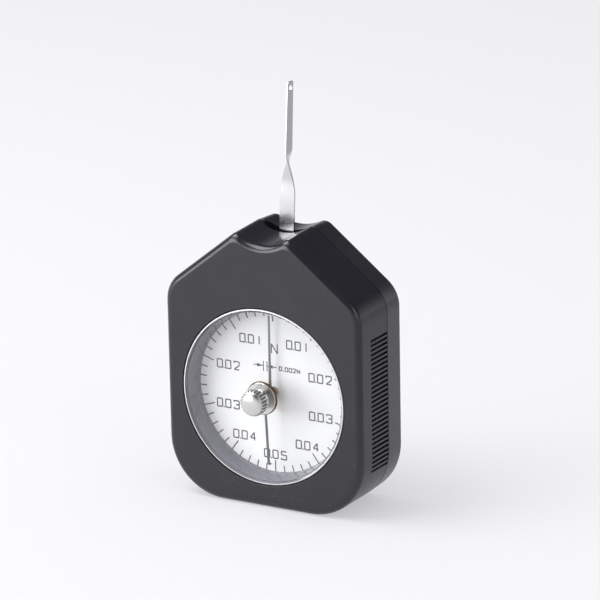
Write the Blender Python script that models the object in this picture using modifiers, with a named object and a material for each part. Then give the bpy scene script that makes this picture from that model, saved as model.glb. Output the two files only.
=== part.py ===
"""Dial tension gauge: a feeler lever that turns a pointer, with a trailing hand on a centre knob.

Metres, +Z up, +X to the right of someone who reads the dial, -Y towards that reader.
The origin is the centre of the flat base face. A depth is measured back from the front face.
"""

import math

import bmesh
import bpy
from mathutils import Matrix, Vector

# Clearances
GAP = 0.0003  # between pieces that rest on each other
FINE_GAP = 0.00015  # round pins, arbors and other small fits
SEAM_GAP = 0.0002
OVERRUN = 0.002  # how far a cutter runs past what it cuts
MERGE_DISTANCE = 0.000002  # points closer than this are one

# Case, at its widest section, which is the seam
CASE_WIDTH = 0.0606
CASE_RIM = 0.0056  # from the crystal's edge out to the side
CASE_CHIN = 0.0067  # from the crystal's edge down to the base
SHOULDER_SLOPE = math.radians(51.88)  # of the shoulder's normal, above level
LIP_HALF_WIDTH = 0.0080  # sharp corner of shoulder and scoop
SCOOP_DIP = 0.0029  # from the lips down to the scoop's lowest point
SCOOP_ROOF = 0.00465  # from the lever hub up to the scoop
SCOOP_RISE_SHARE = 0.065  # how the scoop rises behind the seam, over depth
BASE_CORNER_RADIUS = 0.0165
SHOULDER_RADIUS = 0.0090
LIP_RADIUS = 0.0020
FRONT_EDGE_RADIUS = 0.0020
REAR_EDGE_RADIUS = 0.0010
DRAFT = 0.0004  # how much each shell narrows away from the seam
WALL = 0.0022
TONGUE_HEIGHT = 0.0012
TONGUE_THICKNESS = 0.0009
REAR_CLEARANCE = 0.00085  # from the movement's screws to the rear wall

# Grip grooves on both sides
GROOVE_COUNT = 29
GROOVE_PITCH = 0.00129
GROOVE_HEIGHT = 0.00058
GROOVE_CUT = 0.0007
GROOVE_LENGTH = 0.0084
GROOVE_RISE = 0.00036  # middle of the row above the dial centre
GROOVE_TO_SEAM = 0.0005

# Dial, crystal and the well that holds them
CRYSTAL_THICKNESS = 0.0008
CRYSTAL_WALL = 0.0019
CRYSTAL_CHAMFER = 0.0003
DIAL_DEPTH = 0.00655
DIAL_THICKNESS = 0.0008
DIAL_HOLE_RADIUS = 0.0010
FOOT_SPREAD = 0.0140  # half distance of the two feet
FOOT_LENGTH = 0.0014
FOOT_RADIUS = 0.0008
WELL_WALL = 0.0016
FLOOR_THICKNESS = 0.0016
FLOOR_HOLE_RADIUS = 0.0026
ROUND_STEPS = 48  # sides of the large round pieces
HUB_STEPS = 16
SCREW_STEPS = 12
CORNER_STEPS = 4

# Case screws, from the rear
LOWER_SCREW_INSET = 0.0064  # from the round corner
UPPER_SCREW_INSET = 0.0073  # from the shoulder
SLEEVE_TO_PLATE = 0.0013
POST_RADIUS = 0.0026
POST_PAST_SEAM = 0.0019
SLEEVE_RADIUS = 0.0032
CASE_HEAD_RADIUS = 0.0018
CASE_HEAD_HEIGHT = 0.0013
CASE_HEAD_SINK = 0.0016  # from the rear face down to the head
CASE_SHANK_RADIUS = 0.0010
CASE_SHANK_LENGTH = 0.0105

# Movement plates
PLATE_HALF_WIDTH = 0.0140
PLATE_ABOVE_PIVOT = 0.00885
PLATE_BELOW_DIAL = 0.0134
PLATE_CORNER_RADIUS = 0.0030
PLATE_THICKNESS = 0.0012
PILLAR_INSET = 0.0030  # from the plate's sides
PILLAR_MARGINS = (0.0030, 0.0050)  # from the plate's lower and upper edge
PILLAR_RADIUS = 0.0015
SPIGOT_RADIUS = 0.0008
PILLAR_TAPPED_DEPTH = 0.0035
MOVEMENT_SCREW_INSET = 0.0025  # from the plate's sides
LOWER_SCREW_MARGIN = 0.0085  # from the plate's lower edge
UPPER_SCREW_MARGIN = 0.0014  # from the bore's round edge
SMALL_HEAD_RADIUS = 0.0014
SMALL_HEAD_HEIGHT = 0.0008
SMALL_SHANK_RADIUS = 0.0006
FLOOR_THREAD_DEPTH = 0.0012
SLOT_WIDTH_SHARE = 0.14  # half of a screw slot over its head radius
SLOT_DEPTH_SHARE = 0.45  # a screw slot's depth over its head height

# Gear pair: toothed sector on the lever, pinion on the pointer
PIVOT_TO_DIAL = 0.02625
LEVER_RANGE = math.radians(12)
GEAR_RATIO = 15
PINION_TEETH = 10
SECTOR_TOOTH_COUNT = 15
PRESSURE_ANGLE = math.radians(20)
BACKLASH = 0.0001
PINION_ADDENDUM_SHARE = 0.9
SECTOR_ADDENDUM_SHARE = 1.0
TOOTH_CLEARANCE_SHARE = 0.35
ROOT_RELIEF_SHARE = 0.8
MID_TIP_SHARE = 0.55
GEAR_THICKNESS = 0.0010
PINION_OVERHANG = 0.0002  # pinion past the sector on each side
SECTOR_SETBACK = 0.00045
SECTOR_HUB_RADIUS = 0.0035
SECTOR_WINDOW_INNER = 0.0060
SECTOR_RIM = 0.0032
SECTOR_SPOKE_ANGLE = math.radians(6)
SECTOR_MARGIN_ANGLE = math.radians(1.2)
SECTOR_HUB_ANGLE = math.radians(60)

# Lever: arbor, hub, feeler, clamp screws and counterweight
ARBOR_RADIUS = 0.0010
ARBOR_PIVOT_RADIUS = 0.00055
FEELER_THICKNESS = 0.0005
FEELER_WIDTH = 0.0045
FEELER_TO_SEAM = 0.0001  # middle of the strip behind the seam
FEELER_FOOT_CLEARANCE = 0.00185  # from the arbor up to the foot
FEELER_BEND_RISE = 0.0009  # above the scoop's lowest point
FEELER_TWIST_RISE = 0.0076  # above the scoop's lips
FEELER_TWIST_LENGTH = 0.0115
FEELER_BLADE_LENGTH = 0.0186
FEELER_TIP_SETBACK = 0.00315  # how far the tip leans back from the foot
BLADE_WIDTH = 0.0034
BLADE_TIP_WIDTH = 0.0029
TIP_HOLE_RADIUS = 0.0008
TIP_HOLE_DROP = 0.0016
TWIST_STEPS = 12
TWIST_PACE = 1.3  # how much more the strip turns near the end of the twist
HUB_RISE = 0.0118
HUB_DROP = 0.0132
HUB_THICKNESS = 0.00185
HUB_CORNER_RADIUS = 0.0012
CLAMP_DROPS = (0.0060, 0.0025)  # below the hub's top
CLAMP_HEAD_RADIUS = 0.0010
CLAMP_HEAD_HEIGHT = 0.0007
CLAMP_SHANK_RADIUS = 0.0005
COUNTERWEIGHT_RISE = 0.0025  # above the hub's lower end
COUNTERWEIGHT_RADIUS = 0.0028
COUNTERWEIGHT_THICKNESS = 0.0012
STOP_PIN_RISE = 0.0060
STOP_PIN_RADIUS = 0.0006
STOP_MARGIN = 0.0003
SLOT_WIDTH = 0.0029
SLOT_END_CLEARANCE = 0.0003
SLOT_END_RISE_SHARE = 0.65

# Springs: flat spirals with a collet inside and a stud outside
SPRING_SETBACK = 0.00045  # from the strip back to the collet
SPRING_TO_PLATE = 0.0006  # from the collet back to the plate
SPRING_COLLET_RADIUS = 0.0022
SPRING_COLLET_LENGTH = 0.0018
SPRING_RADIUS = 0.0062
SPRING_STRIP = 0.00025
SPRING_STRIP_WIDTH = 0.0009
SPRING_TURNS = 4
HAIRSPRING_LEAD = 0.0026  # middle of the hairspring in front of the plate
HAIRSPRING_COLLET_RADIUS = 0.0016
HAIRSPRING_COLLET_LENGTH = 0.0016
HAIRSPRING_RADIUS = 0.0046
HAIRSPRING_STRIP = 0.0002
HAIRSPRING_STRIP_WIDTH = 0.0006
HAIRSPRING_TURNS = 3
SPIRAL_STEPS_PER_TURN = 12
STUD_RADIUS = 0.0007
STUD_SPIGOT_RADIUS = 0.00045

# Bushes in the plates
BUSH_RADIUS = 0.0016
BUSH_PROUD = 0.00012

# Pointer: arbor, hub and needle
POINTER_ARBOR_RADIUS = 0.0005
POINTER_SEAT_RADIUS = 0.0008
POINTER_ARBOR_LEAD = 0.0003  # in front of its hub
POINTER_HUB_RADIUS = 0.0014
POINTER_HUB_LEAD = 0.0008  # in front of the needle
POINTER_LIFT = 0.00215  # from the dial out to the needle
POINTER_THICKNESS = 0.0002
POINTER_TIP_CLEARANCE = 0.0008
POINTER_TAIL = 0.0050
POINTER_ROOT_WIDTH = 0.00075
POINTER_TIP_WIDTH = 0.00040
POINTER_RING_RADIUS = 0.0020

# Knob on the crystal and the trailing hand behind it
KNOB_FLANGE_RADIUS = 0.00445
KNOB_FLANGE_THICKNESS = 0.00045
KNOB_STANDOFF = 0.0006  # from the crystal out to the flange
KNOB_NECK_RADIUS = 0.0022
KNOB_HEAD_START = 0.0038
KNOB_HEAD_END = 0.0059
KNOB_HEAD_RADIUS = 0.0034
KNOB_FLUTE = 0.00025
KNOB_DOME_RADIUS = 0.0031
KNOB_DOME_RISE = 0.0010
KNOB_TIP_RADIUS = 0.0006
KNOB_BORE_LENGTH = 0.0022
KNOB_FLUTES = 24
DOME_STEPS = 3
BUSH_FLANGE_RADIUS = 0.0045
BUSH_FLANGE_THICKNESS = 0.00035
CRYSTAL_BUSH_RADIUS = 0.0017
STEM_RADIUS = 0.0008
HAND_HUB_RADIUS = 0.0015
HAND_HUB_LENGTH = 0.0009
HAND_WIRE_RADIUS = 0.0003
HAND_SHORTFALL = 0.0024  # shorter than the needle
HAND_END_LEAD = 0.0015  # in front of the needle
HAND_HOOK_OUT = 0.0009
HOOK_BEND_SHARES = (0.4, 0.8)  # of a quarter turn, where the hook's bend has points
HOOK_DEPTH_SHARE = 0.8

# Sizes worked out from those above
CRYSTAL_RADIUS = CASE_WIDTH / 2 - CASE_RIM
CRYSTAL_INNER_RADIUS = CRYSTAL_RADIUS - CRYSTAL_WALL
DIAL_CENTRE_HEIGHT = CRYSTAL_RADIUS + CASE_CHIN
PIVOT_HEIGHT = DIAL_CENTRE_HEIGHT + PIVOT_TO_DIAL
SCOOP_HEIGHT = PIVOT_HEIGHT + HUB_RISE + SCOOP_ROOF
LIP_HEIGHT = SCOOP_HEIGHT + SCOOP_DIP
SHOULDER_HEIGHT = LIP_HEIGHT - (CASE_WIDTH / 2 - LIP_HALF_WIDTH) / math.tan(SHOULDER_SLOPE)
CRYSTAL_SKIRT_END = DIAL_DEPTH - GAP
DIAL_BACK = DIAL_DEPTH + DIAL_THICKNESS
FLOOR_FRONT = DIAL_BACK + GAP
FLOOR_BACK = FLOOR_FRONT + FLOOR_THICKNESS
FRONT_PLATE_FRONT = FLOOR_BACK + GAP
FRONT_PLATE_BACK = FRONT_PLATE_FRONT + PLATE_THICKNESS
SECTOR_FRONT = FRONT_PLATE_BACK + SECTOR_SETBACK
SECTOR_BACK = SECTOR_FRONT + GEAR_THICKNESS
HUB_FRONT = SECTOR_BACK + GAP
HUB_BACK = HUB_FRONT + HUB_THICKNESS
FEELER_FRONT = HUB_BACK + GAP
FEELER_BACK = FEELER_FRONT + FEELER_THICKNESS
FEELER_DEPTH = FEELER_FRONT + FEELER_THICKNESS / 2
SEAM_DEPTH = FEELER_DEPTH - FEELER_TO_SEAM
POST_END_DEPTH = SEAM_DEPTH + POST_PAST_SEAM
SPRING_DEPTH = FEELER_BACK + SPRING_SETBACK + SPRING_COLLET_LENGTH / 2
BACK_PLATE_FRONT = SPRING_DEPTH + SPRING_COLLET_LENGTH / 2 + SPRING_TO_PLATE
BACK_PLATE_BACK = BACK_PLATE_FRONT + PLATE_THICKNESS
HAIRSPRING_DEPTH = BACK_PLATE_FRONT - HAIRSPRING_LEAD
CASE_DEPTH = BACK_PLATE_BACK + FINE_GAP + SMALL_HEAD_HEIGHT + REAR_CLEARANCE + WALL
CASE_HEAD_SEAT = CASE_DEPTH - CASE_HEAD_SINK - CASE_HEAD_HEIGHT
BORE_RADIUS = CRYSTAL_RADIUS + GAP
WELL_RADIUS = BORE_RADIUS + WELL_WALL
PLATE_TOP = PIVOT_HEIGHT + PLATE_ABOVE_PIVOT
PLATE_BOTTOM = DIAL_CENTRE_HEIGHT - PLATE_BELOW_DIAL
PILLAR_SPREAD = PLATE_HALF_WIDTH - PILLAR_INSET
PILLAR_HEIGHTS = (PLATE_BOTTOM + PILLAR_MARGINS[0], PLATE_TOP - PILLAR_MARGINS[1])
MOVEMENT_SCREW_SPREAD = PLATE_HALF_WIDTH - MOVEMENT_SCREW_INSET
UPPER_SCREW_RISE = math.sqrt((BORE_RADIUS - UPPER_SCREW_MARGIN)**2 - MOVEMENT_SCREW_SPREAD**2)
MOVEMENT_SCREW_HEIGHTS = (PLATE_BOTTOM + LOWER_SCREW_MARGIN, DIAL_CENTRE_HEIGHT + UPPER_SCREW_RISE)
HUB_HALF_WIDTH = FEELER_WIDTH / 2
CLAMP_RISES = (HUB_RISE - CLAMP_DROPS[0], HUB_RISE - CLAMP_DROPS[1])
COUNTERWEIGHT_DROP = HUB_DROP - COUNTERWEIGHT_RISE
FEELER_FOOT_HEIGHT = PIVOT_HEIGHT + ARBOR_RADIUS + FEELER_FOOT_CLEARANCE
FEELER_BEND_HEIGHT = SCOOP_HEIGHT + FEELER_BEND_RISE
FEELER_TWIST_START = LIP_HEIGHT + FEELER_TWIST_RISE
FEELER_TWIST_END = FEELER_TWIST_START + FEELER_TWIST_LENGTH
FEELER_TIP_HEIGHT = FEELER_TWIST_END + FEELER_BLADE_LENGTH
POINTER_DEPTH = DIAL_DEPTH - POINTER_LIFT
POINTER_HUB_FRONT = POINTER_DEPTH - POINTER_HUB_LEAD
POINTER_ARBOR_FRONT = POINTER_HUB_FRONT - POINTER_ARBOR_LEAD
POINTER_LENGTH = CRYSTAL_INNER_RADIUS - POINTER_TIP_CLEARANCE
HAND_LENGTH = POINTER_LENGTH - HAND_SHORTFALL
HAND_END_DEPTH = POINTER_DEPTH - HAND_END_LEAD
HAND_HUB_FRONT = CRYSTAL_THICKNESS + GAP
GEAR_MODULE = 2 * PIVOT_TO_DIAL / (PINION_TEETH * (1 + GEAR_RATIO))

BLACK_PLASTIC = ("black_plastic", (0.045, 0.045, 0.05), 0.35, 0.0)
CLEAR_ACRYLIC = ("clear_acrylic", (0.85, 0.88, 0.9), 0.05, 0.0)
SILVER_DIAL = ("silver_dial", (0.85, 0.85, 0.86), 0.5, 0.2)
STEEL = ("steel", (0.62, 0.62, 0.64), 0.25, 1.0)
BLUED_STEEL = ("dark_steel", (0.08, 0.08, 0.09), 0.35, 1.0)
BRASS = ("brass", (0.62, 0.45, 0.2), 0.3, 1.0)
NICKEL = ("nickel", (0.72, 0.7, 0.66), 0.18, 1.0)


def clear_scene():
    for item in list(bpy.data.objects):
        bpy.data.objects.remove(item, do_unlink=True)


def collection_named(name):
    made = bpy.data.collections.new(name)
    bpy.context.scene.collection.children.link(made)
    return made


def material_of(look):
    name, colour, roughness, metallic = look
    made = bpy.data.materials.get(name)
    if made is None:
        made = bpy.data.materials.new(name)
        made.use_nodes = True
        shader = made.node_tree.nodes["Principled BSDF"]
        shader.inputs["Base Color"].default_value = (*colour, 1.0)
        shader.inputs["Roughness"].default_value = roughness
        shader.inputs["Metallic"].default_value = metallic
        made.diffuse_color = (*colour, 1.0)
    return made


def world_y(depth):
    """The world Y of a depth behind the front face."""
    return depth - CASE_DEPTH / 2


def place(made, collection, look=None, carrier=None):
    """Puts an object in its collection, with its material and parent."""
    for old in list(made.users_collection):
        old.objects.unlink(made)
    collection.objects.link(made)
    if look is not None:
        made.data.materials.clear()
        made.data.materials.append(material_of(look))
    if carrier is not None:
        bpy.context.view_layer.update()
        made.parent = carrier
        made.matrix_parent_inverse = carrier.matrix_world.inverted()
    return made


def object_from(name, data):
    made = bpy.data.objects.new(name, data)
    bpy.context.scene.collection.objects.link(made)
    return made


def shade(made, sharp_angle=math.radians(35)):
    made.data.shade_smooth()
    made.data.set_sharp_from_angle(angle=sharp_angle)


def loft(name, rings, location=(0, 0, 0)):
    """A closed body through rings with equal numbers of points, capped at both ends."""
    body = bmesh.new()
    origin = Vector(location)
    rows = [[body.verts.new(Vector(point) - origin) for point in ring] for ring in rings]
    count = len(rows[0])
    for near, far in zip(rows, rows[1:]):
        for i in range(count):
            after = (i + 1) % count
            body.faces.new((near[i], near[after], far[after], far[i]))
    body.faces.new(rows[0])
    body.faces.new(rows[-1])
    bmesh.ops.recalc_face_normals(body, faces=body.faces)
    data = bpy.data.meshes.new(name)
    body.to_mesh(data)
    body.free()
    made = object_from(name, data)
    made.location = location
    shade(made)
    return made


def turned(name, profile, x=0.0, z=0.0, steps=HUB_STEPS, ring=False):
    """A body turned about a front-to-back axis. The profile is (radius, depth), outer side first,
    from front to back, and a ring's profile closes on itself."""
    front = profile[0][1]
    data = bpy.data.meshes.new(name)
    points = [(radius, 0, front - depth) for radius, depth in profile]
    edges = [(i, i + 1) for i in range(len(points) - 1)]
    if ring:
        edges.append((len(points) - 1, 0))
    data.from_pydata(points, edges, [])
    made = object_from(name, data)
    made.location = (x, world_y(front), z)
    made.rotation_euler = (math.radians(90), 0, 0)
    turn = made.modifiers.new("turn", "SCREW")
    turn.axis = "Z"
    turn.steps = steps
    turn.render_steps = steps
    turn.use_merge_vertices = True
    turn.merge_threshold = MERGE_DISTANCE
    turn.use_smooth_shade = True
    return made


def disc(name, radius, front, back, x=0.0, z=0.0, steps=HUB_STEPS):
    """A plain cylinder between two depths, with an undivided face at each end."""
    outline = circle(radius, x, z, steps)
    rings = [[(across, world_y(depth), up) for across, up in outline] for depth in (front, back)]
    return loft(name, rings, (x, world_y(front), z))


def tube(name, outer, inner, front, back, x=0.0, z=0.0, steps=HUB_STEPS):
    profile = [(outer, front), (outer, back), (inner, back), (inner, front)]
    return turned(name, profile, x, z, steps, ring=True)


def frozen(made):
    """Swaps an object's modifiers or curve for the mesh that they make."""
    bpy.context.view_layer.update()
    graph = bpy.context.evaluated_depsgraph_get()
    data = bpy.data.meshes.new_from_object(made.evaluated_get(graph))
    body = bmesh.new()
    body.from_mesh(data)
    bmesh.ops.remove_doubles(body, verts=body.verts, dist=MERGE_DISTANCE)
    bmesh.ops.recalc_face_normals(body, faces=body.faces)
    body.to_mesh(data)
    body.free()
    name, where = made.name, made.matrix_world.copy()
    bpy.data.objects.remove(made, do_unlink=True)
    data.name = name
    fresh = object_from(name, data)
    fresh.matrix_world = where
    shade(fresh)
    return fresh


def flat(name, outlines, front, back, x=0.0, z=0.0):
    """A plate between two depths. Outlines are (x, z) from its origin, and inner ones are holes."""
    curve = bpy.data.curves.new(name, "CURVE")
    curve.dimensions = "2D"
    curve.fill_mode = "BOTH"
    curve.extrude = (back - front) / 2
    for outline in outlines:
        spline = curve.splines.new("POLY")
        spline.points.add(len(outline) - 1)
        for point, (across, up) in zip(spline.points, outline):
            point.co = (across, up, 0, 1)
        spline.use_cyclic_u = True
    made = object_from(name, curve)
    made.location = (x, world_y((front + back) / 2), z)
    made.rotation_euler = (math.radians(90), 0, 0)
    return frozen(made)


def box(name, low, high):
    """A box between two corners given as (x, depth, z), with its origin at the world's."""
    bpy.ops.mesh.primitive_cube_add(size=1)
    made = bpy.context.active_object
    made.name = name
    low = Vector((low[0], world_y(low[1]), low[2]))
    high = Vector((high[0], world_y(high[1]), high[2]))
    for vertex in made.data.vertices:
        vertex.co = (low + high) / 2 + vertex.co * (high - low)
    return made


def combine(body, others, operation, guides):
    """Adds or cuts solids. The other solids stay as hidden guides."""
    for other in others:
        other.name = f"{body.name}_{other.name}"
        other.display_type = "WIRE"
        other.hide_render = True
        place(other, guides)
        step = body.modifiers.new(other.name, "BOOLEAN")
        step.operation = operation
        step.solver = "MANIFOLD"
        step.object = other
    tidy = body.modifiers.new("merge", "WELD")
    tidy.merge_threshold = MERGE_DISTANCE


def circle(radius, x=0.0, z=0.0, steps=HUB_STEPS):
    turns = [2 * math.pi * i / steps for i in range(steps)]
    return [(x + radius * math.cos(a), z + radius * math.sin(a)) for a in turns]


def arc(x, z, radius, first, last, steps):
    turns = [first + (last - first) * i / steps for i in range(steps + 1)]
    return [(x + radius * math.cos(a), z + radius * math.sin(a)) for a in turns]


def rounded_box(left, right, low, high, radius):
    points = []
    for across, up, turn in ((right, high, 0), (left, high, 1), (left, low, 2), (right, low, 3)):
        x = across - radius if across == right else across + radius
        z = up - radius if up == high else up + radius
        first = math.pi / 2 * turn
        points += arc(x, z, radius, first, first + math.pi / 2, CORNER_STEPS)
    return points


def case_half_arcs(rise=0.0):
    """The right half of the case outline as arcs: centre, radius, first and last angle, steps,
    and 1 for a round corner or -1 for a hollow. The scoop is as much higher as the rise."""
    half, slope = CASE_WIDTH / 2, SHOULDER_SLOPE
    normal = Vector((math.cos(slope), math.sin(slope)))
    along = Vector((-normal.y, normal.x))
    dip = LIP_HEIGHT - SCOOP_HEIGHT - rise
    scoop_radius = (dip**2 + LIP_HALF_WIDTH**2) / (2 * dip)
    scoop = Vector((0, SCOOP_HEIGHT + rise + scoop_radius))
    tangent = SHOULDER_RADIUS * math.tan(slope / 2)
    shoulder = Vector((half - SHOULDER_RADIUS, SHOULDER_HEIGHT - tangent))
    start = Vector((half, SHOULDER_HEIGHT)) - normal * LIP_RADIUS - scoop
    reach = scoop_radius + LIP_RADIUS
    middle = start.dot(along)
    travel = -middle - math.sqrt(middle**2 - start.length_squared + reach**2)
    lip = scoop + start + along * travel
    meeting = math.atan2(scoop.y - lip.y, scoop.x - lip.x)
    down = math.radians(270)
    base = (half - BASE_CORNER_RADIUS, BASE_CORNER_RADIUS)
    return [
        (base, BASE_CORNER_RADIUS, down, 2 * math.pi, 6, 1),
        (shoulder, SHOULDER_RADIUS, 0, slope, 4, 1),
        (lip, LIP_RADIUS, slope, meeting, 3, 1),
        (scoop, scoop_radius, meeting + math.pi, down, 5, -1),
    ]


def case_ring(depth, inset, narrowing=0.0):
    """The case outline at a depth, moved in by an inset all round and by a narrowing that spares
    the flat base. Inside the walls, the outline ends in a flat roof under the scoop."""
    right = []
    arcs = case_half_arcs(SCOOP_RISE_SHARE * max(0, depth - SEAM_DEPTH))
    outer = inset <= LIP_RADIUS
    for centre, radius, first, last, steps, side in arcs if outer else arcs[:2]:
        for i in range(steps + 1):
            angle = first + (last - first) * i / steps
            out_x, out_z = side * math.cos(angle), side * math.sin(angle)
            moved = inset + narrowing * (1 + min(0, out_z))
            x = centre[0] + radius * math.cos(angle) - moved * out_x
            z = centre[1] + radius * math.sin(angle) - moved * out_z
            right.append((x, world_y(depth), z))
    if not outer:
        slope, roof = arcs[1][3], SCOOP_HEIGHT - inset
        end = right[-1][0] - (roof - right[-1][2]) * math.tan(slope)
        count = sum(steps + 1 for _, _, _, _, steps, _ in arcs[2:])
        right += [(end * (1 - i / (count - 1)), world_y(depth), roof) for i in range(count)]
    left = [(-x, y, z) for x, y, z in reversed(right[:-1])]
    return right + left


def edge_rings(radius, face, inwards, narrowing, steps):
    """Rings round a rounded edge, from the outer face to where the side starts."""
    rings = []
    for i in range(steps + 1):
        angle = math.pi / 2 * i / steps
        depth = face + inwards * radius * (1 - math.cos(angle))
        rings.append(case_ring(depth, radius * (1 - math.sin(angle)), narrowing(depth)))
    return rings


def corner_places():
    """Where the four case screws are, as (x, z): two in the round corners, two under the
    shoulders."""
    half = CASE_WIDTH / 2
    reach = (BASE_CORNER_RADIUS - LOWER_SCREW_INSET) * math.sqrt(0.5)
    lower = (half - BASE_CORNER_RADIUS + reach, BASE_CORNER_RADIUS - reach)
    spread = PLATE_HALF_WIDTH + SLEEVE_TO_PLATE + SLEEVE_RADIUS
    slope_height = SHOULDER_HEIGHT + (half - spread) / math.tan(SHOULDER_SLOPE)
    upper = (spread, slope_height - UPPER_SCREW_INSET / math.sin(SHOULDER_SLOPE))
    return [(side * x, z) for x, z in (lower, upper) for side in (-1, 1)]


def both_sides(spread, heights):
    return [(side * spread, height) for height in heights for side in (-1, 1)]


def slot_cutter():
    """The opening for the lever, with round ends, half in each shell and as long as the feeler's
    swing at the scoop."""
    height = SCOOP_HEIGHT + (LIP_HEIGHT - SCOOP_HEIGHT) * SLOT_END_RISE_SHARE
    swing = (height - PIVOT_HEIGHT) * math.tan(LEVER_RANGE)
    half = swing + FEELER_WIDTH / 2 / math.cos(LEVER_RANGE) + SLOT_END_CLEARANCE
    front, back = SEAM_DEPTH - SLOT_WIDTH / 2, SEAM_DEPTH + SLOT_WIDTH / 2
    outline = rounded_box(-half, half, front, back, SLOT_WIDTH / 2)
    levels = (PLATE_TOP, LIP_HEIGHT + OVERRUN)
    return loft("slot", [[(x, world_y(depth), z) for x, depth in outline] for z in levels])


def groove_cutter():
    back = SEAM_DEPTH - GROOVE_TO_SEAM
    inner = CASE_WIDTH / 2 - DRAFT - GROOVE_CUT
    middle = DIAL_CENTRE_HEIGHT + GROOVE_RISE
    low = middle - GROOVE_PITCH * (GROOVE_COUNT - 1) / 2 - GROOVE_HEIGHT / 2
    outer = CASE_WIDTH / 2 + OVERRUN
    made = box("grooves", (inner, back - GROOVE_LENGTH, low), (outer, back, low + GROOVE_HEIGHT))
    copies = made.modifiers.new("copies", "ARRAY")
    copies.use_relative_offset = False
    copies.use_constant_offset = True
    copies.constant_offset_displace = (0, 0, GROOVE_PITCH)
    copies.count = GROOVE_COUNT
    other_side = made.modifiers.new("other_side", "MIRROR")
    other_side.merge_threshold = MERGE_DISTANCE
    return made


def make_front_case(parts, guides):
    """The front shell: face, sides and grip grooves, the round well for the dial, four posts."""

    def narrowing(depth):
        return DRAFT * (1 - depth / SEAM_DEPTH)

    seam = SEAM_DEPTH - SEAM_GAP / 2
    rings = edge_rings(FRONT_EDGE_RADIUS, 0, 1, narrowing, 4)
    rings += [case_ring(seam, 0), case_ring(seam, WALL), case_ring(WALL, WALL, DRAFT)]
    body = loft("front_case", rings)
    start, centre = WALL / 2, DIAL_CENTRE_HEIGHT
    added = [disc("well", WELL_RADIUS, start, FLOOR_BACK, z=centre, steps=ROUND_STEPS)]
    for i, (x, z) in enumerate(corner_places(), 1):
        added.append(disc(f"post_{i}", POST_RADIUS, start, POST_END_DEPTH, x, z))
    combine(body, added, "UNION", guides)
    past_floor = FLOOR_BACK + OVERRUN
    cuts = [disc("bore", BORE_RADIUS, -OVERRUN, FLOOR_FRONT, z=centre, steps=ROUND_STEPS)]
    cuts.append(disc("arbor_hole", FLOOR_HOLE_RADIUS, DIAL_DEPTH, past_floor, z=centre))
    for i, (x, z) in enumerate(both_sides(FOOT_SPREAD, [centre]), 1):
        cuts.append(disc(f"foot_hole_{i}", FOOT_RADIUS + FINE_GAP, DIAL_DEPTH, past_floor, x, z))
    for i, (x, z) in enumerate(both_sides(MOVEMENT_SCREW_SPREAD, MOVEMENT_SCREW_HEIGHTS), 1):
        bottom = FLOOR_BACK - FLOOR_THREAD_DEPTH
        cuts.append(disc(f"thread_{i}", SMALL_SHANK_RADIUS + FINE_GAP, bottom, past_floor, x, z))
    for i, (x, z) in enumerate(corner_places(), 1):
        bottom = CASE_HEAD_SEAT - CASE_SHANK_LENGTH - GAP
        past_post = POST_END_DEPTH + OVERRUN
        cuts.append(disc(f"pilot_{i}", CASE_SHANK_RADIUS + FINE_GAP, bottom, past_post, x, z))
    combine(body, cuts + [slot_cutter(), groove_cutter()], "DIFFERENCE", guides)
    place(body, parts, BLACK_PLASTIC)


def make_rear_case(parts, guides):
    """The rear shell: back, a tongue that enters the front shell, and four screw sleeves."""

    def narrowing(depth):
        return DRAFT * (depth - SEAM_DEPTH) / (CASE_DEPTH - SEAM_DEPTH)

    seam = SEAM_DEPTH + SEAM_GAP / 2
    outside = WALL + GAP
    inside = outside + TONGUE_THICKNESS
    rings = edge_rings(REAR_EDGE_RADIUS, CASE_DEPTH, -1, narrowing, 3)
    rings += [case_ring(seam, 0), case_ring(seam, outside)]
    rings += [case_ring(seam - TONGUE_HEIGHT, outside), case_ring(seam - TONGUE_HEIGHT, inside)]
    rings.append(case_ring(CASE_DEPTH - WALL, inside))
    body = loft("rear_case", rings)
    start = POST_END_DEPTH + GAP
    sleeves, cuts = [], []
    for i, (x, z) in enumerate(corner_places(), 1):
        sleeves.append(disc(f"sleeve_{i}", SLEEVE_RADIUS, start, CASE_DEPTH - WALL / 2, x, z))
        sink, past_back = CASE_HEAD_RADIUS + GAP, CASE_DEPTH + OVERRUN
        cuts.append(disc(f"sink_{i}", sink, CASE_HEAD_SEAT - GAP, past_back, x, z))
        hole = CASE_SHANK_RADIUS + FINE_GAP
        cuts.append(disc(f"hole_{i}", hole, start - OVERRUN, CASE_DEPTH, x, z))
    combine(body, sleeves, "UNION", guides)
    combine(body, cuts + [slot_cutter()], "DIFFERENCE", guides)
    place(body, parts, BLACK_PLASTIC)


def slotted_screw(head_radius, head_height, shank_radius, shank_length, guides):
    """The mesh of a slotted screw, its head to the back and its origin at the head's seat."""
    profile = [(0, -shank_length), (shank_radius, -shank_length), (shank_radius, 0)]
    profile += [(head_radius, 0), (head_radius, head_height), (0, head_height)]
    body = turned("screw", profile, steps=SCREW_STEPS)
    half = head_radius * SLOT_WIDTH_SHARE
    floor = head_height * (1 - SLOT_DEPTH_SHARE)
    end = head_radius + OVERRUN
    cut = box("cut", (-half, floor, -end), (half, head_height + OVERRUN, end))
    combine(body, [cut], "DIFFERENCE", guides)
    body = frozen(body)
    data = body.data
    data.transform(Matrix.Translation((0, -world_y(0), 0)) @ body.matrix_world)
    bpy.data.objects.remove(body, do_unlink=True)
    bpy.data.objects.remove(cut, do_unlink=True)
    return data


def place_screws(name, data, places, seat, parts, carrier=None, from_front=False):
    """Copies of one screw, with their heads' seats at a depth."""
    for i, (x, z) in enumerate(places, 1):
        made = object_from(f"{name}_{i}", data)
        made.location = (x, world_y(seat), z)
        if from_front:
            made.rotation_euler = (0, 0, math.pi)
        place(made, parts, STEEL, carrier)


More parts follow.
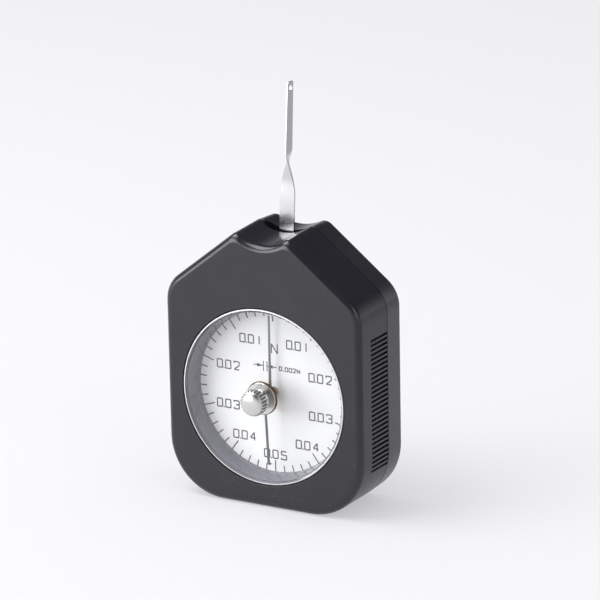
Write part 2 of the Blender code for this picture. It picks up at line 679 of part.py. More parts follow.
def make_case_screws(parts, guides):
    sizes = (CASE_HEAD_RADIUS, CASE_HEAD_HEIGHT, CASE_SHANK_RADIUS, CASE_SHANK_LENGTH)
    data = slotted_screw(*sizes, guides)
    place_screws("case_screw", data, corner_places(), CASE_HEAD_SEAT, parts)


def make_crystal(parts):
    """A clear moulded cup: a thin front disc with a skirt that reaches down to the dial."""
    hole = CRYSTAL_BUSH_RADIUS + FINE_GAP
    profile = [(hole, 0), (CRYSTAL_RADIUS - CRYSTAL_CHAMFER, 0), (CRYSTAL_RADIUS, CRYSTAL_CHAMFER)]
    profile += [(CRYSTAL_RADIUS, CRYSTAL_SKIRT_END), (CRYSTAL_INNER_RADIUS, CRYSTAL_SKIRT_END)]
    profile += [(CRYSTAL_INNER_RADIUS, CRYSTAL_THICKNESS), (hole, CRYSTAL_THICKNESS)]
    body = turned("crystal", profile, z=DIAL_CENTRE_HEIGHT, steps=ROUND_STEPS, ring=True)
    place(body, parts, CLEAR_ACRYLIC)


def make_crystal_bush(parts):
    """The brass bush in the middle of the crystal, in which the knob's stem turns."""
    front = FINE_GAP - KNOB_STANDOFF
    back = front + BUSH_FLANGE_THICKNESS
    inner = STEM_RADIUS + FINE_GAP
    end = CRYSTAL_THICKNESS + FINE_GAP
    profile = [(BUSH_FLANGE_RADIUS, front), (BUSH_FLANGE_RADIUS, back), (CRYSTAL_BUSH_RADIUS, back)]
    profile += [(CRYSTAL_BUSH_RADIUS, end), (inner, end), (inner, front)]
    body = turned("crystal_bush", profile, z=DIAL_CENTRE_HEIGHT, steps=KNOB_FLUTES, ring=True)
    place(body, parts, BRASS)


def make_dial_plate(parts, guides):
    outlines = [circle(CRYSTAL_RADIUS, steps=ROUND_STEPS), circle(DIAL_HOLE_RADIUS, steps=SCREW_STEPS)]
    body = flat("dial_plate", outlines, DIAL_DEPTH, DIAL_BACK, z=DIAL_CENTRE_HEIGHT)
    feet = []
    for i, (x, z) in enumerate(both_sides(FOOT_SPREAD, [DIAL_CENTRE_HEIGHT]), 1):
        middle = DIAL_DEPTH + DIAL_THICKNESS / 2
        feet.append(disc(f"foot_{i}", FOOT_RADIUS, middle, DIAL_BACK + FOOT_LENGTH, x, z, SCREW_STEPS))
    combine(body, feet, "UNION", guides)
    place(body, parts, SILVER_DIAL)


def movement_plate(name, front, back, holes, parts):
    """A movement plate about the dial centre, with holes given as (radius, x, z)."""
    low, high = PLATE_BOTTOM - DIAL_CENTRE_HEIGHT, PLATE_TOP - DIAL_CENTRE_HEIGHT
    outlines = [rounded_box(-PLATE_HALF_WIDTH, PLATE_HALF_WIDTH, low, high, PLATE_CORNER_RADIUS)]
    for radius, x, z in holes:
        outlines.append(circle(radius, x, z - DIAL_CENTRE_HEIGHT, SCREW_STEPS))
    place(flat(name, outlines, front, back, z=DIAL_CENTRE_HEIGHT), parts, BRASS)


def make_plates(parts):
    bush = BUSH_RADIUS + FINE_GAP
    bushes = [(bush, 0, DIAL_CENTRE_HEIGHT), (bush, 0, PIVOT_HEIGHT)]
    pillars = both_sides(PILLAR_SPREAD, PILLAR_HEIGHTS)
    screws = both_sides(MOVEMENT_SCREW_SPREAD, MOVEMENT_SCREW_HEIGHTS)
    shank = SMALL_SHANK_RADIUS + FINE_GAP
    stud = STUD_SPIGOT_RADIUS + FINE_GAP
    holes = bushes + [(SPIGOT_RADIUS + FINE_GAP, x, z) for x, z in pillars]
    holes += [(shank, x, z) for x, z in screws]
    holes += [(stud, x, z) for x, z in both_sides(stop_spread(), [PIVOT_HEIGHT + STOP_PIN_RISE])]
    movement_plate("front_plate", FRONT_PLATE_FRONT, FRONT_PLATE_BACK, holes, parts)
    holes = bushes + [(shank, x, z) for x, z in pillars]
    holes += [(stud, x, z) for x, z in (lever_stud_place(), hair_stud_place())]
    movement_plate("back_plate", BACK_PLATE_FRONT, BACK_PLATE_BACK, holes, parts)


def make_pillars(parts):
    spigot, tapped = FRONT_PLATE_FRONT + FINE_GAP, SMALL_SHANK_RADIUS + FINE_GAP
    shoulder, end = FRONT_PLATE_BACK + FINE_GAP, BACK_PLATE_FRONT - FINE_GAP
    profile = [(0, spigot), (SPIGOT_RADIUS, spigot), (SPIGOT_RADIUS, shoulder)]
    profile += [(PILLAR_RADIUS, shoulder), (PILLAR_RADIUS, end), (tapped, end)]
    profile += [(tapped, end - PILLAR_TAPPED_DEPTH), (0, end - PILLAR_TAPPED_DEPTH)]
    for i, (x, z) in enumerate(both_sides(PILLAR_SPREAD, PILLAR_HEIGHTS), 1):
        place(turned(f"pillar_{i}", profile, x, z, SCREW_STEPS), parts, STEEL)


def make_plate_screws(parts, guides):
    head = (SMALL_HEAD_RADIUS, SMALL_HEAD_HEIGHT, SMALL_SHANK_RADIUS)
    seat = FRONT_PLATE_BACK + FINE_GAP
    length = seat - (FLOOR_BACK - FLOOR_THREAD_DEPTH + FINE_GAP)
    data = slotted_screw(*head, length, guides)
    places = both_sides(MOVEMENT_SCREW_SPREAD, MOVEMENT_SCREW_HEIGHTS)
    place_screws("movement_screw", data, places, seat, parts)
    seat = BACK_PLATE_BACK + FINE_GAP
    length = seat - (BACK_PLATE_FRONT - PILLAR_TAPPED_DEPTH)
    data = slotted_screw(*head, length, guides)
    place_screws("pillar_screw", data, both_sides(PILLAR_SPREAD, PILLAR_HEIGHTS), seat, parts)


def make_bushes(parts):
    for arbor, height, pivot in (
        ("lever", PIVOT_HEIGHT, ARBOR_PIVOT_RADIUS),
        ("pointer", DIAL_CENTRE_HEIGHT, POINTER_ARBOR_RADIUS),
    ):
        inner = pivot + FINE_GAP
        front, back = FRONT_PLATE_FRONT, FRONT_PLATE_BACK + BUSH_PROUD
        place(tube(f"{arbor}_front_bush", BUSH_RADIUS, inner, front, back, z=height), parts, BRASS)
        front, back = BACK_PLATE_FRONT - BUSH_PROUD, BACK_PLATE_BACK
        place(tube(f"{arbor}_back_bush", BUSH_RADIUS, inner, front, back, z=height), parts, BRASS)


def stop_spread():
    """How far out the stop pins are, just clear of the lever hub at the end of its range."""
    swing = STOP_PIN_RISE * math.tan(LEVER_RANGE) + HUB_HALF_WIDTH / math.cos(LEVER_RANGE)
    return swing + STOP_PIN_RADIUS + STOP_MARGIN


def make_stop_pins(parts):
    start, shoulder = FRONT_PLATE_FRONT + FINE_GAP, FRONT_PLATE_BACK + FINE_GAP
    profile = [(0, start), (STUD_SPIGOT_RADIUS, start), (STUD_SPIGOT_RADIUS, shoulder)]
    profile += [(STOP_PIN_RADIUS, shoulder), (STOP_PIN_RADIUS, HUB_BACK), (0, HUB_BACK)]
    for i, (x, z) in enumerate(both_sides(stop_spread(), [PIVOT_HEIGHT + STOP_PIN_RISE]), 1):
        place(turned(f"stop_pin_{i}", profile, x, z, SCREW_STEPS), parts, STEEL)


def lever_stud_place():
    return -(SPRING_RADIUS + SPRING_STRIP / 2 + FINE_GAP + STUD_RADIUS), PIVOT_HEIGHT


def hair_stud_place():
    reach = HAIRSPRING_RADIUS + HAIRSPRING_STRIP / 2 + FINE_GAP + STUD_RADIUS
    return reach, DIAL_CENTRE_HEIGHT


def make_studs(parts):
    """The two posts on the back plate that hold the outer ends of the springs."""
    shoulder, end = BACK_PLATE_FRONT - FINE_GAP, BACK_PLATE_BACK
    studs = (
        ("lever_spring_stud", lever_stud_place(), SPRING_DEPTH - SPRING_STRIP_WIDTH),
        ("hairspring_stud", hair_stud_place(), HAIRSPRING_DEPTH - HAIRSPRING_STRIP_WIDTH),
    )
    for name, (x, z), start in studs:
        profile = [(0, start), (STUD_RADIUS, start), (STUD_RADIUS, shoulder)]
        profile += [(STUD_SPIGOT_RADIUS, shoulder), (STUD_SPIGOT_RADIUS, end), (0, end)]
        place(turned(name, profile, x, z, SCREW_STEPS), parts, BRASS)


def involute(angle):
    return math.tan(angle) - angle


def tooth_half(teeth, addendum, dedendum):
    """Half of a tooth, from root to tip, as (radius, half angle)."""
    pitch = teeth * GEAR_MODULE / 2
    base = pitch * math.cos(PRESSURE_ANGLE)
    half = (math.pi * GEAR_MODULE / 2 - BACKLASH) / (2 * pitch)
    root, tip = pitch - dedendum, pitch + addendum
    radii = [root, max(base, (root + pitch) / 2), pitch, pitch + addendum * MID_TIP_SHARE, tip]
    points = []
    for radius in radii:
        angle = math.acos(base / max(radius, base))
        width = half + involute(PRESSURE_ANGLE) - involute(angle)
        points.append((radius, width * (ROOT_RELIEF_SHARE if radius < base else 1)))
    return points


def toothed_arc(teeth, half_tooth, first, count):
    """Points of some teeth in a row, as (radius, angle), with angles growing."""
    points = []
    for i in range(count):
        middle = first + 2 * math.pi / teeth * i
        points += [(radius, middle - width) for radius, width in half_tooth]
        points += [(radius, middle + width) for radius, width in reversed(half_tooth)]
    return points


def below(points):
    """Polar points measured from straight down, turned towards +X."""
    return [(radius * math.sin(angle), -radius * math.cos(angle)) for radius, angle in points]


def make_sector_gear(parts, carrier):
    teeth = PINION_TEETH * GEAR_RATIO
    addendum = SECTOR_ADDENDUM_SHARE * GEAR_MODULE
    dedendum = (PINION_ADDENDUM_SHARE + TOOTH_CLEARANCE_SHARE) * GEAR_MODULE
    pitch = 2 * math.pi / teeth
    first = -pitch * (SECTOR_TOOTH_COUNT - 1) / 2
    row = toothed_arc(teeth, tooth_half(teeth, addendum, dedendum), first, SECTOR_TOOTH_COUNT)
    edge = pitch * SECTOR_TOOTH_COUNT / 2 + SECTOR_MARGIN_ANGLE
    root = row[0][0]
    hub_turn = 2 * math.pi - 2 * SECTOR_HUB_ANGLE
    hub = [
        (SECTOR_HUB_RADIUS, SECTOR_HUB_ANGLE + hub_turn * i / SCREW_STEPS)
        for i in range(SCREW_STEPS + 1)
    ]
    inside = edge - SECTOR_SPOKE_ANGLE
    spread = [inside * (2 * i / HUB_STEPS - 1) for i in range(HUB_STEPS + 1)]
    window = [(root - SECTOR_RIM, angle) for angle in spread]
    window += [(SECTOR_WINDOW_INNER, angle) for angle in (inside, 0, -inside)]
    outlines = [below([(root, -edge)] + row + [(root, edge)] + hub), below(window)]
    outlines.append(circle(ARBOR_RADIUS + FINE_GAP, steps=SCREW_STEPS))
    body = flat("sector_gear", outlines, SECTOR_FRONT, SECTOR_BACK, z=PIVOT_HEIGHT)
    place(body, parts, BRASS, carrier)


def make_pinion(parts, carrier):
    addendum = PINION_ADDENDUM_SHARE * GEAR_MODULE
    dedendum = (SECTOR_ADDENDUM_SHARE + TOOTH_CLEARANCE_SHARE) * GEAR_MODULE
    first = math.pi + math.pi / PINION_TEETH
    row = toothed_arc(PINION_TEETH, tooth_half(PINION_TEETH, addendum, dedendum), first, PINION_TEETH)
    outlines = [below(row), circle(POINTER_ARBOR_RADIUS + FINE_GAP, steps=SCREW_STEPS)]
    front, back = SECTOR_FRONT - PINION_OVERHANG, SECTOR_BACK + PINION_OVERHANG
    place(flat("pinion", outlines, front, back, z=DIAL_CENTRE_HEIGHT), parts, STEEL, carrier)


def make_lever_arbor(parts, carrier):
    start, end = FRONT_PLATE_FRONT + FINE_GAP, BACK_PLATE_BACK - FINE_GAP
    front, back = FRONT_PLATE_BACK + GAP, BACK_PLATE_FRONT - GAP
    profile = [(0, start), (ARBOR_PIVOT_RADIUS, start), (ARBOR_PIVOT_RADIUS, front)]
    profile += [(ARBOR_RADIUS, front), (ARBOR_RADIUS, back)]
    profile += [(ARBOR_PIVOT_RADIUS, back), (ARBOR_PIVOT_RADIUS, end), (0, end)]
    place(turned("lever_arbor", profile, z=PIVOT_HEIGHT), parts, STEEL, carrier)


def make_lever_hub(parts, carrier):
    """The bar on the lever arbor that carries the feeler above and the counterweight below."""
    bar = rounded_box(-HUB_HALF_WIDTH, HUB_HALF_WIDTH, -HUB_DROP, HUB_RISE, HUB_CORNER_RADIUS)
    outlines = [bar, circle(ARBOR_RADIUS + FINE_GAP, steps=SCREW_STEPS)]
    for z in (*CLAMP_RISES, -COUNTERWEIGHT_DROP):
        outlines.append(circle(CLAMP_SHANK_RADIUS + FINE_GAP, 0, z, SCREW_STEPS))
    body = flat("lever_hub", outlines, HUB_FRONT, HUB_BACK, z=PIVOT_HEIGHT)
    place(body, parts, BRASS, carrier)


def feeler_ring(height, lean, width, twist):
    """A cross-section of the strip: twist 0 faces the reader, a quarter turn faces sideways."""
    across = Vector((math.cos(twist), -math.sin(twist), 0)) * width / 2
    through = Vector((math.sin(twist), math.cos(twist), 0)) * FEELER_THICKNESS / 2
    middle = Vector((0, world_y(FEELER_DEPTH + lean), height))
    return [middle - across - through, middle + across - through]\
        + [middle + across + through, middle - across + through]


def feeler_lean(height):
    rise = max(0, height - FEELER_BEND_HEIGHT) / (FEELER_TIP_HEIGHT - FEELER_BEND_HEIGHT)
    return FEELER_TIP_SETBACK * rise


def make_feeler(parts, guides, carrier):
    """The flat steel lever: it faces the reader at its foot, and a quarter twist turns its blade
    sideways. The blade has a hole near its tip."""
    rings = [feeler_ring(z, 0, FEELER_WIDTH, 0) for z in (FEELER_FOOT_HEIGHT, FEELER_BEND_HEIGHT)]
    for i in range(TWIST_STEPS + 1):
        share = i / TWIST_STEPS
        height = FEELER_TWIST_START + (FEELER_TWIST_END - FEELER_TWIST_START) * share
        eased = share ** TWIST_PACE
        width = FEELER_WIDTH + (BLADE_WIDTH - FEELER_WIDTH) * eased
        rings.append(feeler_ring(height, feeler_lean(height), width, math.pi / 2 * eased))
    rings.append(feeler_ring(FEELER_TIP_HEIGHT, FEELER_TIP_SETBACK, BLADE_TIP_WIDTH, math.pi / 2))
    body = loft("feeler", rings, (0, world_y(FEELER_DEPTH), PIVOT_HEIGHT))
    hole_height = FEELER_TIP_HEIGHT - TIP_HOLE_DROP
    depth = FEELER_DEPTH + feeler_lean(hole_height)
    outline = circle(TIP_HOLE_RADIUS, world_y(depth), hole_height)
    cuts = [loft("tip_hole", [[(x, y, z) for y, z in outline] for x in (-OVERRUN, OVERRUN)])]
    for i, rise in enumerate(CLAMP_RISES, 1):
        radius, z = CLAMP_SHANK_RADIUS + FINE_GAP, PIVOT_HEIGHT + rise
        front, back = FEELER_FRONT - OVERRUN, FEELER_BACK + OVERRUN
        cuts.append(disc(f"clamp_hole_{i}", radius, front, back, z=z, steps=SCREW_STEPS))
    combine(body, cuts, "DIFFERENCE", guides)
    place(body, parts, STEEL, carrier)


def make_clamp_screws(parts, guides, carrier):
    seat = HUB_FRONT - FINE_GAP
    length = FEELER_BACK + FINE_GAP - seat
    sizes = (CLAMP_HEAD_RADIUS, CLAMP_HEAD_HEIGHT, CLAMP_SHANK_RADIUS, length)
    places = [(0, PIVOT_HEIGHT + rise) for rise in CLAMP_RISES]
    data = slotted_screw(*sizes, guides)
    place_screws("clamp_screw", data, places, seat, parts, carrier, from_front=True)


def make_counterweight(parts, carrier):
    start, shoulder = HUB_FRONT + FINE_GAP, HUB_BACK + GAP
    end = shoulder + COUNTERWEIGHT_THICKNESS
    profile = [(0, start), (CLAMP_SHANK_RADIUS, start), (CLAMP_SHANK_RADIUS, shoulder)]
    profile += [(COUNTERWEIGHT_RADIUS, shoulder), (COUNTERWEIGHT_RADIUS, end), (0, end)]
    body = turned("counterweight", profile, z=PIVOT_HEIGHT - COUNTERWEIGHT_DROP)
    place(body, parts, BRASS, carrier)


def make_collet(name, radius, bore, depth, length, height, parts, carrier):
    front, back = depth - length / 2, depth + length / 2
    place(tube(name, radius, bore + FINE_GAP, front, back, z=height), parts, BRASS, carrier)


def make_spiral(name, inner, outer, turns, strip, width, depth, height, end, parts, carrier):
    """A flat spiral strip from its collet out to its stud, which is at the end angle."""
    steps = turns * SPIRAL_STEPS_PER_TURN
    first = inner + FINE_GAP + strip / 2
    rings = []
    for i in range(steps + 1):
        share = i / steps
        radius = first + (outer - first) * share
        angle = end + 2 * math.pi * turns * share
        ring = []
        for side, layer in ((-1, -1), (1, -1), (1, 1), (-1, 1)):
            reach = radius + side * strip / 2
            x, z = reach * math.cos(angle), height + reach * math.sin(angle)
            ring.append((x, world_y(depth + layer * width / 2), z))
        rings.append(ring)
    place(loft(name, rings, (0, world_y(depth), height)), parts, BLUED_STEEL, carrier)


def make_lever_spring(parts, carrier):
    make_collet("lever_spring_collet", SPRING_COLLET_RADIUS, ARBOR_RADIUS, SPRING_DEPTH,
                SPRING_COLLET_LENGTH, PIVOT_HEIGHT, parts, carrier)
    make_spiral("lever_spring", SPRING_COLLET_RADIUS, SPRING_RADIUS, SPRING_TURNS, SPRING_STRIP,
                SPRING_STRIP_WIDTH, SPRING_DEPTH, PIVOT_HEIGHT, math.pi, parts, carrier)


def make_hairspring(parts, carrier):
    make_collet("hairspring_collet", HAIRSPRING_COLLET_RADIUS, POINTER_SEAT_RADIUS,
                HAIRSPRING_DEPTH, HAIRSPRING_COLLET_LENGTH, DIAL_CENTRE_HEIGHT, parts, carrier)
    make_spiral("hairspring", HAIRSPRING_COLLET_RADIUS, HAIRSPRING_RADIUS, HAIRSPRING_TURNS,
                HAIRSPRING_STRIP, HAIRSPRING_STRIP_WIDTH, HAIRSPRING_DEPTH, DIAL_CENTRE_HEIGHT,
                0, parts, carrier)


def make_pointer_arbor(parts, carrier):
    step, back = SECTOR_BACK + PINION_OVERHANG + FINE_GAP, BACK_PLATE_FRONT - GAP
    end = BACK_PLATE_BACK - FINE_GAP
    profile = [(0, POINTER_ARBOR_FRONT), (POINTER_ARBOR_RADIUS, POINTER_ARBOR_FRONT)]
    profile += [(POINTER_ARBOR_RADIUS, step), (POINTER_SEAT_RADIUS, step)]
    profile += [(POINTER_SEAT_RADIUS, back), (POINTER_ARBOR_RADIUS, back)]
    profile += [(POINTER_ARBOR_RADIUS, end), (0, end)]
    body = turned("pointer_arbor", profile, z=DIAL_CENTRE_HEIGHT, steps=SCREW_STEPS)
    place(body, parts, STEEL, carrier)


def make_pointer(parts, carrier):
    """The needle with its balancing tail, and the brass hub that it is pressed onto."""
    inner, back = POINTER_ARBOR_RADIUS + FINE_GAP, DIAL_DEPTH - GAP
    hub = tube("pointer_hub", POINTER_HUB_RADIUS, inner, POINTER_HUB_FRONT, back, z=DIAL_CENTRE_HEIGHT)
    place(hub, parts, BRASS, carrier)
    half, tip = POINTER_ROOT_WIDTH / 2, POINTER_TIP_WIDTH / 2
    turn = math.asin(half / POINTER_RING_RADIUS)
    quarter = math.pi / 2
    outline = [(tip, POINTER_LENGTH), (-tip, POINTER_LENGTH)]
    outline += arc(0, 0, POINTER_RING_RADIUS, quarter + turn, 3 * quarter - turn, CORNER_STEPS)
    outline += [(-half, -POINTER_TAIL), (half, -POINTER_TAIL)]
    outline += arc(0, 0, POINTER_RING_RADIUS, turn - quarter, quarter - turn, CORNER_STEPS)
    outlines = [outline, circle(POINTER_HUB_RADIUS + FINE_GAP)]
    back = POINTER_DEPTH + POINTER_THICKNESS
    needle = flat("pointer", outlines, POINTER_DEPTH, back, z=DIAL_CENTRE_HEIGHT)
    place(needle, parts, BLUED_STEEL, carrier)


def knob_ring(radius, depth, flute=0.0):
    steps = 2 * KNOB_FLUTES
    ring = []
    for i in range(steps):
        reach = radius - (flute if i % 2 else 0)
        angle = 2 * math.pi * i / steps
        x, z = reach * math.cos(angle), DIAL_CENTRE_HEIGHT + reach * math.sin(angle)
        ring.append((x, world_y(depth), z))
    return ring


def make_reset_knob(parts, carrier):
    """The fluted thumb knob in front of the crystal, with its flange and the stem's bore."""
    rings = [knob_ring(KNOB_TIP_RADIUS, -KNOB_HEAD_END - KNOB_DOME_RISE)]
    for i in range(1, DOME_STEPS + 1):
        angle = math.pi / 2 * i / DOME_STEPS
        rise = KNOB_DOME_RISE * math.cos(angle)
        rings.append(knob_ring(KNOB_DOME_RADIUS * math.sin(angle), -KNOB_HEAD_END - rise))
    chamfer = KNOB_HEAD_RADIUS - KNOB_DOME_RADIUS
    flange = -KNOB_STANDOFF - KNOB_FLANGE_THICKNESS
    bore = STEM_RADIUS + FINE_GAP
    rings.append(knob_ring(KNOB_HEAD_RADIUS, chamfer - KNOB_HEAD_END, KNOB_FLUTE))
    rings.append(knob_ring(KNOB_HEAD_RADIUS, -KNOB_HEAD_START, KNOB_FLUTE))
    rings += [knob_ring(KNOB_NECK_RADIUS, -KNOB_HEAD_START), knob_ring(KNOB_NECK_RADIUS, flange)]
    rings += [knob_ring(KNOB_FLANGE_RADIUS, flange), knob_ring(KNOB_FLANGE_RADIUS, -KNOB_STANDOFF)]
    rings += [knob_ring(bore, -KNOB_STANDOFF), knob_ring(bore, -KNOB_STANDOFF - KNOB_BORE_LENGTH)]
    body = loft("reset_knob", rings, (0, world_y(flange), DIAL_CENTRE_HEIGHT))
    place(body, parts, NICKEL, carrier)


def make_knob_stem(parts, carrier):
    start = FINE_GAP - KNOB_STANDOFF - KNOB_BORE_LENGTH
    end = HAND_HUB_FRONT + HAND_HUB_LENGTH + FINE_GAP
    body = disc("knob_stem", STEM_RADIUS, start, end, z=DIAL_CENTRE_HEIGHT, steps=SCREW_STEPS)
    place(body, parts, STEEL, carrier)


def make_drag_hand(parts, carrier):
    """The trailing hand: a hub on the knob's stem and a wire that slopes towards the dial and
    ends in a hook in front of the pointer's plane."""
    back = HAND_HUB_FRONT + HAND_HUB_LENGTH
    inner = STEM_RADIUS + FINE_GAP
    hub = tube("drag_hand_hub", HAND_HUB_RADIUS, inner, HAND_HUB_FRONT, back, z=DIAL_CENTRE_HEIGHT)
    place(hub, parts, BRASS, carrier)
    root = HAND_HUB_RADIUS + FINE_GAP
    root_depth = HAND_HUB_FRONT + HAND_HUB_LENGTH / 2
    hook_end = POINTER_DEPTH - GAP - HAND_WIRE_RADIUS
    hook_reach = HAND_LENGTH + HAND_HOOK_OUT
    route = [(root, root_depth), (HAND_LENGTH, HAND_END_DEPTH)]
    for share in HOOK_BEND_SHARES:
        angle = math.pi / 2 * share
        reach = HAND_LENGTH + HAND_HOOK_OUT * math.sin(angle)
        depth = HAND_END_DEPTH + HAND_HOOK_OUT * HOOK_DEPTH_SHARE * (1 - math.cos(angle))
        route.append((reach, depth))
    route.append((hook_reach, hook_end))
    curve = bpy.data.curves.new("drag_hand", "CURVE")
    curve.dimensions = "3D"
    curve.bevel_depth = HAND_WIRE_RADIUS
    curve.bevel_resolution = 2
    curve.use_fill_caps = True
    spline = curve.splines.new("POLY")
    spline.points.add(len(route) - 1)
    for point, (reach, depth) in zip(spline.points, route):
        point.co = (0, depth - root_depth, -reach, 1)
    body = object_from("drag_hand", curve)
    body.location = (0, world_y(root_depth), DIAL_CENTRE_HEIGHT)
    place(frozen(body), parts, BLUED_STEEL, carrier)


def axis_empty(name, depth, height, parts):
    """An empty on a joint's axis, which carries one moving assembly."""
    made = object_from(name, None)
    made.location = (0, world_y(depth), height)
    return place(made, parts)


def build():
    clear_scene()
    parts = collection_named("dial_tension_gauge")
    guides = collection_named("guides")
    make_front_case(parts, guides)
    make_rear_case(parts, guides)
    make_case_screws(parts, guides)
    make_crystal(parts)
    make_crystal_bush(parts)
    make_dial_plate(parts, guides)
    make_plates(parts)
    make_pillars(parts)
    make_plate_screws(parts, guides)
    make_bushes(parts)
    make_stop_pins(parts)
    make_studs(parts)
    lever = axis_empty("lever_axis", FEELER_DEPTH, PIVOT_HEIGHT, parts)
    make_lever_arbor(parts, lever)
    make_sector_gear(parts, lever)
    make_lever_hub(parts, lever)
    make_feeler(parts, guides, lever)
    make_clamp_screws(parts, guides, lever)
    make_counterweight(parts, lever)
    make_lever_spring(parts, lever)
    pointer = axis_empty("pointer_axis", POINTER_DEPTH, DIAL_CENTRE_HEIGHT, parts)
    make_pointer_arbor(parts, pointer)
    make_pinion(parts, pointer)
    make_pointer(parts, pointer)
    make_hairspring(parts, pointer)
    knob = axis_empty("knob_axis", 0, DIAL_CENTRE_HEIGHT, parts)
    make_reset_knob(parts, knob)
    make_knob_stem(parts, knob)
    make_drag_hand(parts, knob)
    bpy.context.view_layer.update()


build()
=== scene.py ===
import math

import bmesh
import bpy
from mathutils import Euler, Matrix, Vector


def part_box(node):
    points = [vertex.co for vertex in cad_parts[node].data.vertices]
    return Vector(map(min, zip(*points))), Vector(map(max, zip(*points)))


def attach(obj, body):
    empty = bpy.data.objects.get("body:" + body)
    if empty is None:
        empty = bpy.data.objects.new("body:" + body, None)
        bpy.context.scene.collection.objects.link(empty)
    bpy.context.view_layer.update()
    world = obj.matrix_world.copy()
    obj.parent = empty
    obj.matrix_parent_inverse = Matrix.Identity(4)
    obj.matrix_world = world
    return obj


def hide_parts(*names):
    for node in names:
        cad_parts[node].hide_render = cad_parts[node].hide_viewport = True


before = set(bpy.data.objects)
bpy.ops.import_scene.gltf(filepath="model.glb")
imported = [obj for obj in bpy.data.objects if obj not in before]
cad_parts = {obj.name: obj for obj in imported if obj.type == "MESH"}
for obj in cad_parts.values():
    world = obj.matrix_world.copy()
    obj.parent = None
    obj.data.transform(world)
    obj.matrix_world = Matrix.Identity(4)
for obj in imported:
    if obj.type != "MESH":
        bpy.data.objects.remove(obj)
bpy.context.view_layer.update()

# Case: two shells moulded in glossy black plastic. They meet at a seam round the sides, and four
# screws from behind pull them together. The front shell has grip grooves on its sides and a round
# well for the dial.
CASE_HALF_WIDTH, CASE_HALF_DEPTH, CASE_TOP, CASE_WALL = 0.0303, 0.0116, 0.0765, 0.0022
# Places from front to back are depths behind the front face.
FRONT_SEAM, SEAM_MIDDLE, REAR_SEAM, CASE_BACK = 0.0147, 0.0148, 0.0149, 0.0232
CASE_DRAFT = 0.0004  # how much each shell narrows away from the seam
FRONT_ROUNDING, REAR_ROUNDING, SEAM_EDGE = 0.0019, 0.0010, 0.00012
TONGUE_INSET, TONGUE_HEIGHT, TONGUE_THICKNESS = 0.0025, 0.0012, 0.0009
BASE_RADIUS, BASE_STEPS = 0.0165, 20
SHOULDER_RADIUS, SHOULDER_STEPS, SHOULDER_TURN = 0.0090, 12, 51.88  # its last angle, in degrees
LIP_HALF_WIDTH, LIP_HEIGHT = 0.0080, 0.0770  # where shoulder and scoop would meet in a sharp corner
LIP_RADIUS, FACE_LIP_RADIUS, BACK_LIP_RADIUS, LIP_STEPS = 0.0020, 0.0054, 0.0030, 10
SCOOP_LOW, SCOOP_RISE = 0.0741, 0.000546  # lowest point at the seam, and its rise to the back
DIAL_HEIGHT = 0.0314
WELL_RADIUS, BORE_RADIUS, BORE_MOUTH = 0.0266, 0.0250, 0.00012
WELL_START, WELL_FLOOR, WELL_BACK = 0.0011, 0.00765, 0.00925
ARBOR_HOLE_RADIUS = 0.0026
POST_RADIUS, POST_END, PILOT_RADIUS, PILOT_START = 0.0026, 0.0167, 0.00115, 0.0095
SLEEVE_RADIUS, SLEEVE_START, SCREW_HOLE_RADIUS = 0.0032, 0.0170, 0.00115
SINK_RADIUS, SINK_MOUTH, SINK_FLOOR = 0.0021, 0.0002, 0.0200
SLOT_HALF_WIDTH, SLOT_HALF_LENGTH, SLOT_FOOT = 0.00145, 0.00678, 0.0665
GROOVES, GROOVE_PITCH, GROOVE_HEIGHT, GROOVE_RISE = 29, 0.001312, 0.00068, 0.000052
GROOVE_START, GROOVE_END, GROOVE_FLOOR = 0.0059, 0.0149, 0.0292
PAST = 0.002  # how far a cutter runs past what it cuts
SAME_PLACE = 1e-6
NOISE_LOW, NOISE_HIGH = 0.6, 1.4  # nearly all of two noises added together lies between these

shoulder = Vector((math.cos(math.radians(SHOULDER_TURN)), math.sin(math.radians(SHOULDER_TURN))))
shoulder_reach = shoulder.dot(Vector((LIP_HALF_WIDTH, LIP_HEIGHT))) - SHOULDER_RADIUS
shoulder_x = CASE_HALF_WIDTH - SHOULDER_RADIUS
shoulder_z = (shoulder_reach - shoulder.x * shoulder_x) / shoulder.y
# The right half below the scoop: each arc's centre x and z, radius, steps and last angle.
SIDE_ARCS = ((CASE_HALF_WIDTH - BASE_RADIUS, BASE_RADIUS, BASE_RADIUS, BASE_STEPS, 0.0),
             (shoulder_x, shoulder_z, SHOULDER_RADIUS, SHOULDER_STEPS, SHOULDER_TURN))


def at_depth(depth):
    """The y of a depth behind the front face."""
    return depth - CASE_HALF_DEPTH


def middle_of(node):
    """The x and z of a node's middle."""
    low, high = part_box(node)
    return (low[0] + high[0]) / 2, (low[2] + high[2]) / 2


def quarter_turn(steps):
    """Angles from nothing to a quarter turn."""
    return [math.pi / 2 * i / steps for i in range(steps + 1)]


def lipped(lip_radius, scoop_low):
    """The arcs of an outline whose shoulders run into the scoop over round lips. The scoop's own
    radius is negative, because it is hollow."""
    dip = LIP_HEIGHT - scoop_low
    scoop_radius = (LIP_HALF_WIDTH ** 2 + dip ** 2) / (2 * dip)
    scoop = Vector((0, scoop_low + scoop_radius))
    along = Vector((-shoulder.y, shoulder.x))
    line = shoulder_reach + SHOULDER_RADIUS - lip_radius
    reach = scoop_radius + lip_radius
    slide = along.dot(scoop) - math.sqrt(reach ** 2 - (line - shoulder.dot(scoop)) ** 2)
    lip = line * shoulder + slide * along
    last = math.degrees(math.atan2(scoop.y - lip.y, -lip.x))
    return SIDE_ARCS + ((lip.x, lip.y, lip_radius, LIP_STEPS, last),
                        (0.0, scoop.y, -scoop_radius, LIP_STEPS, 90.0))


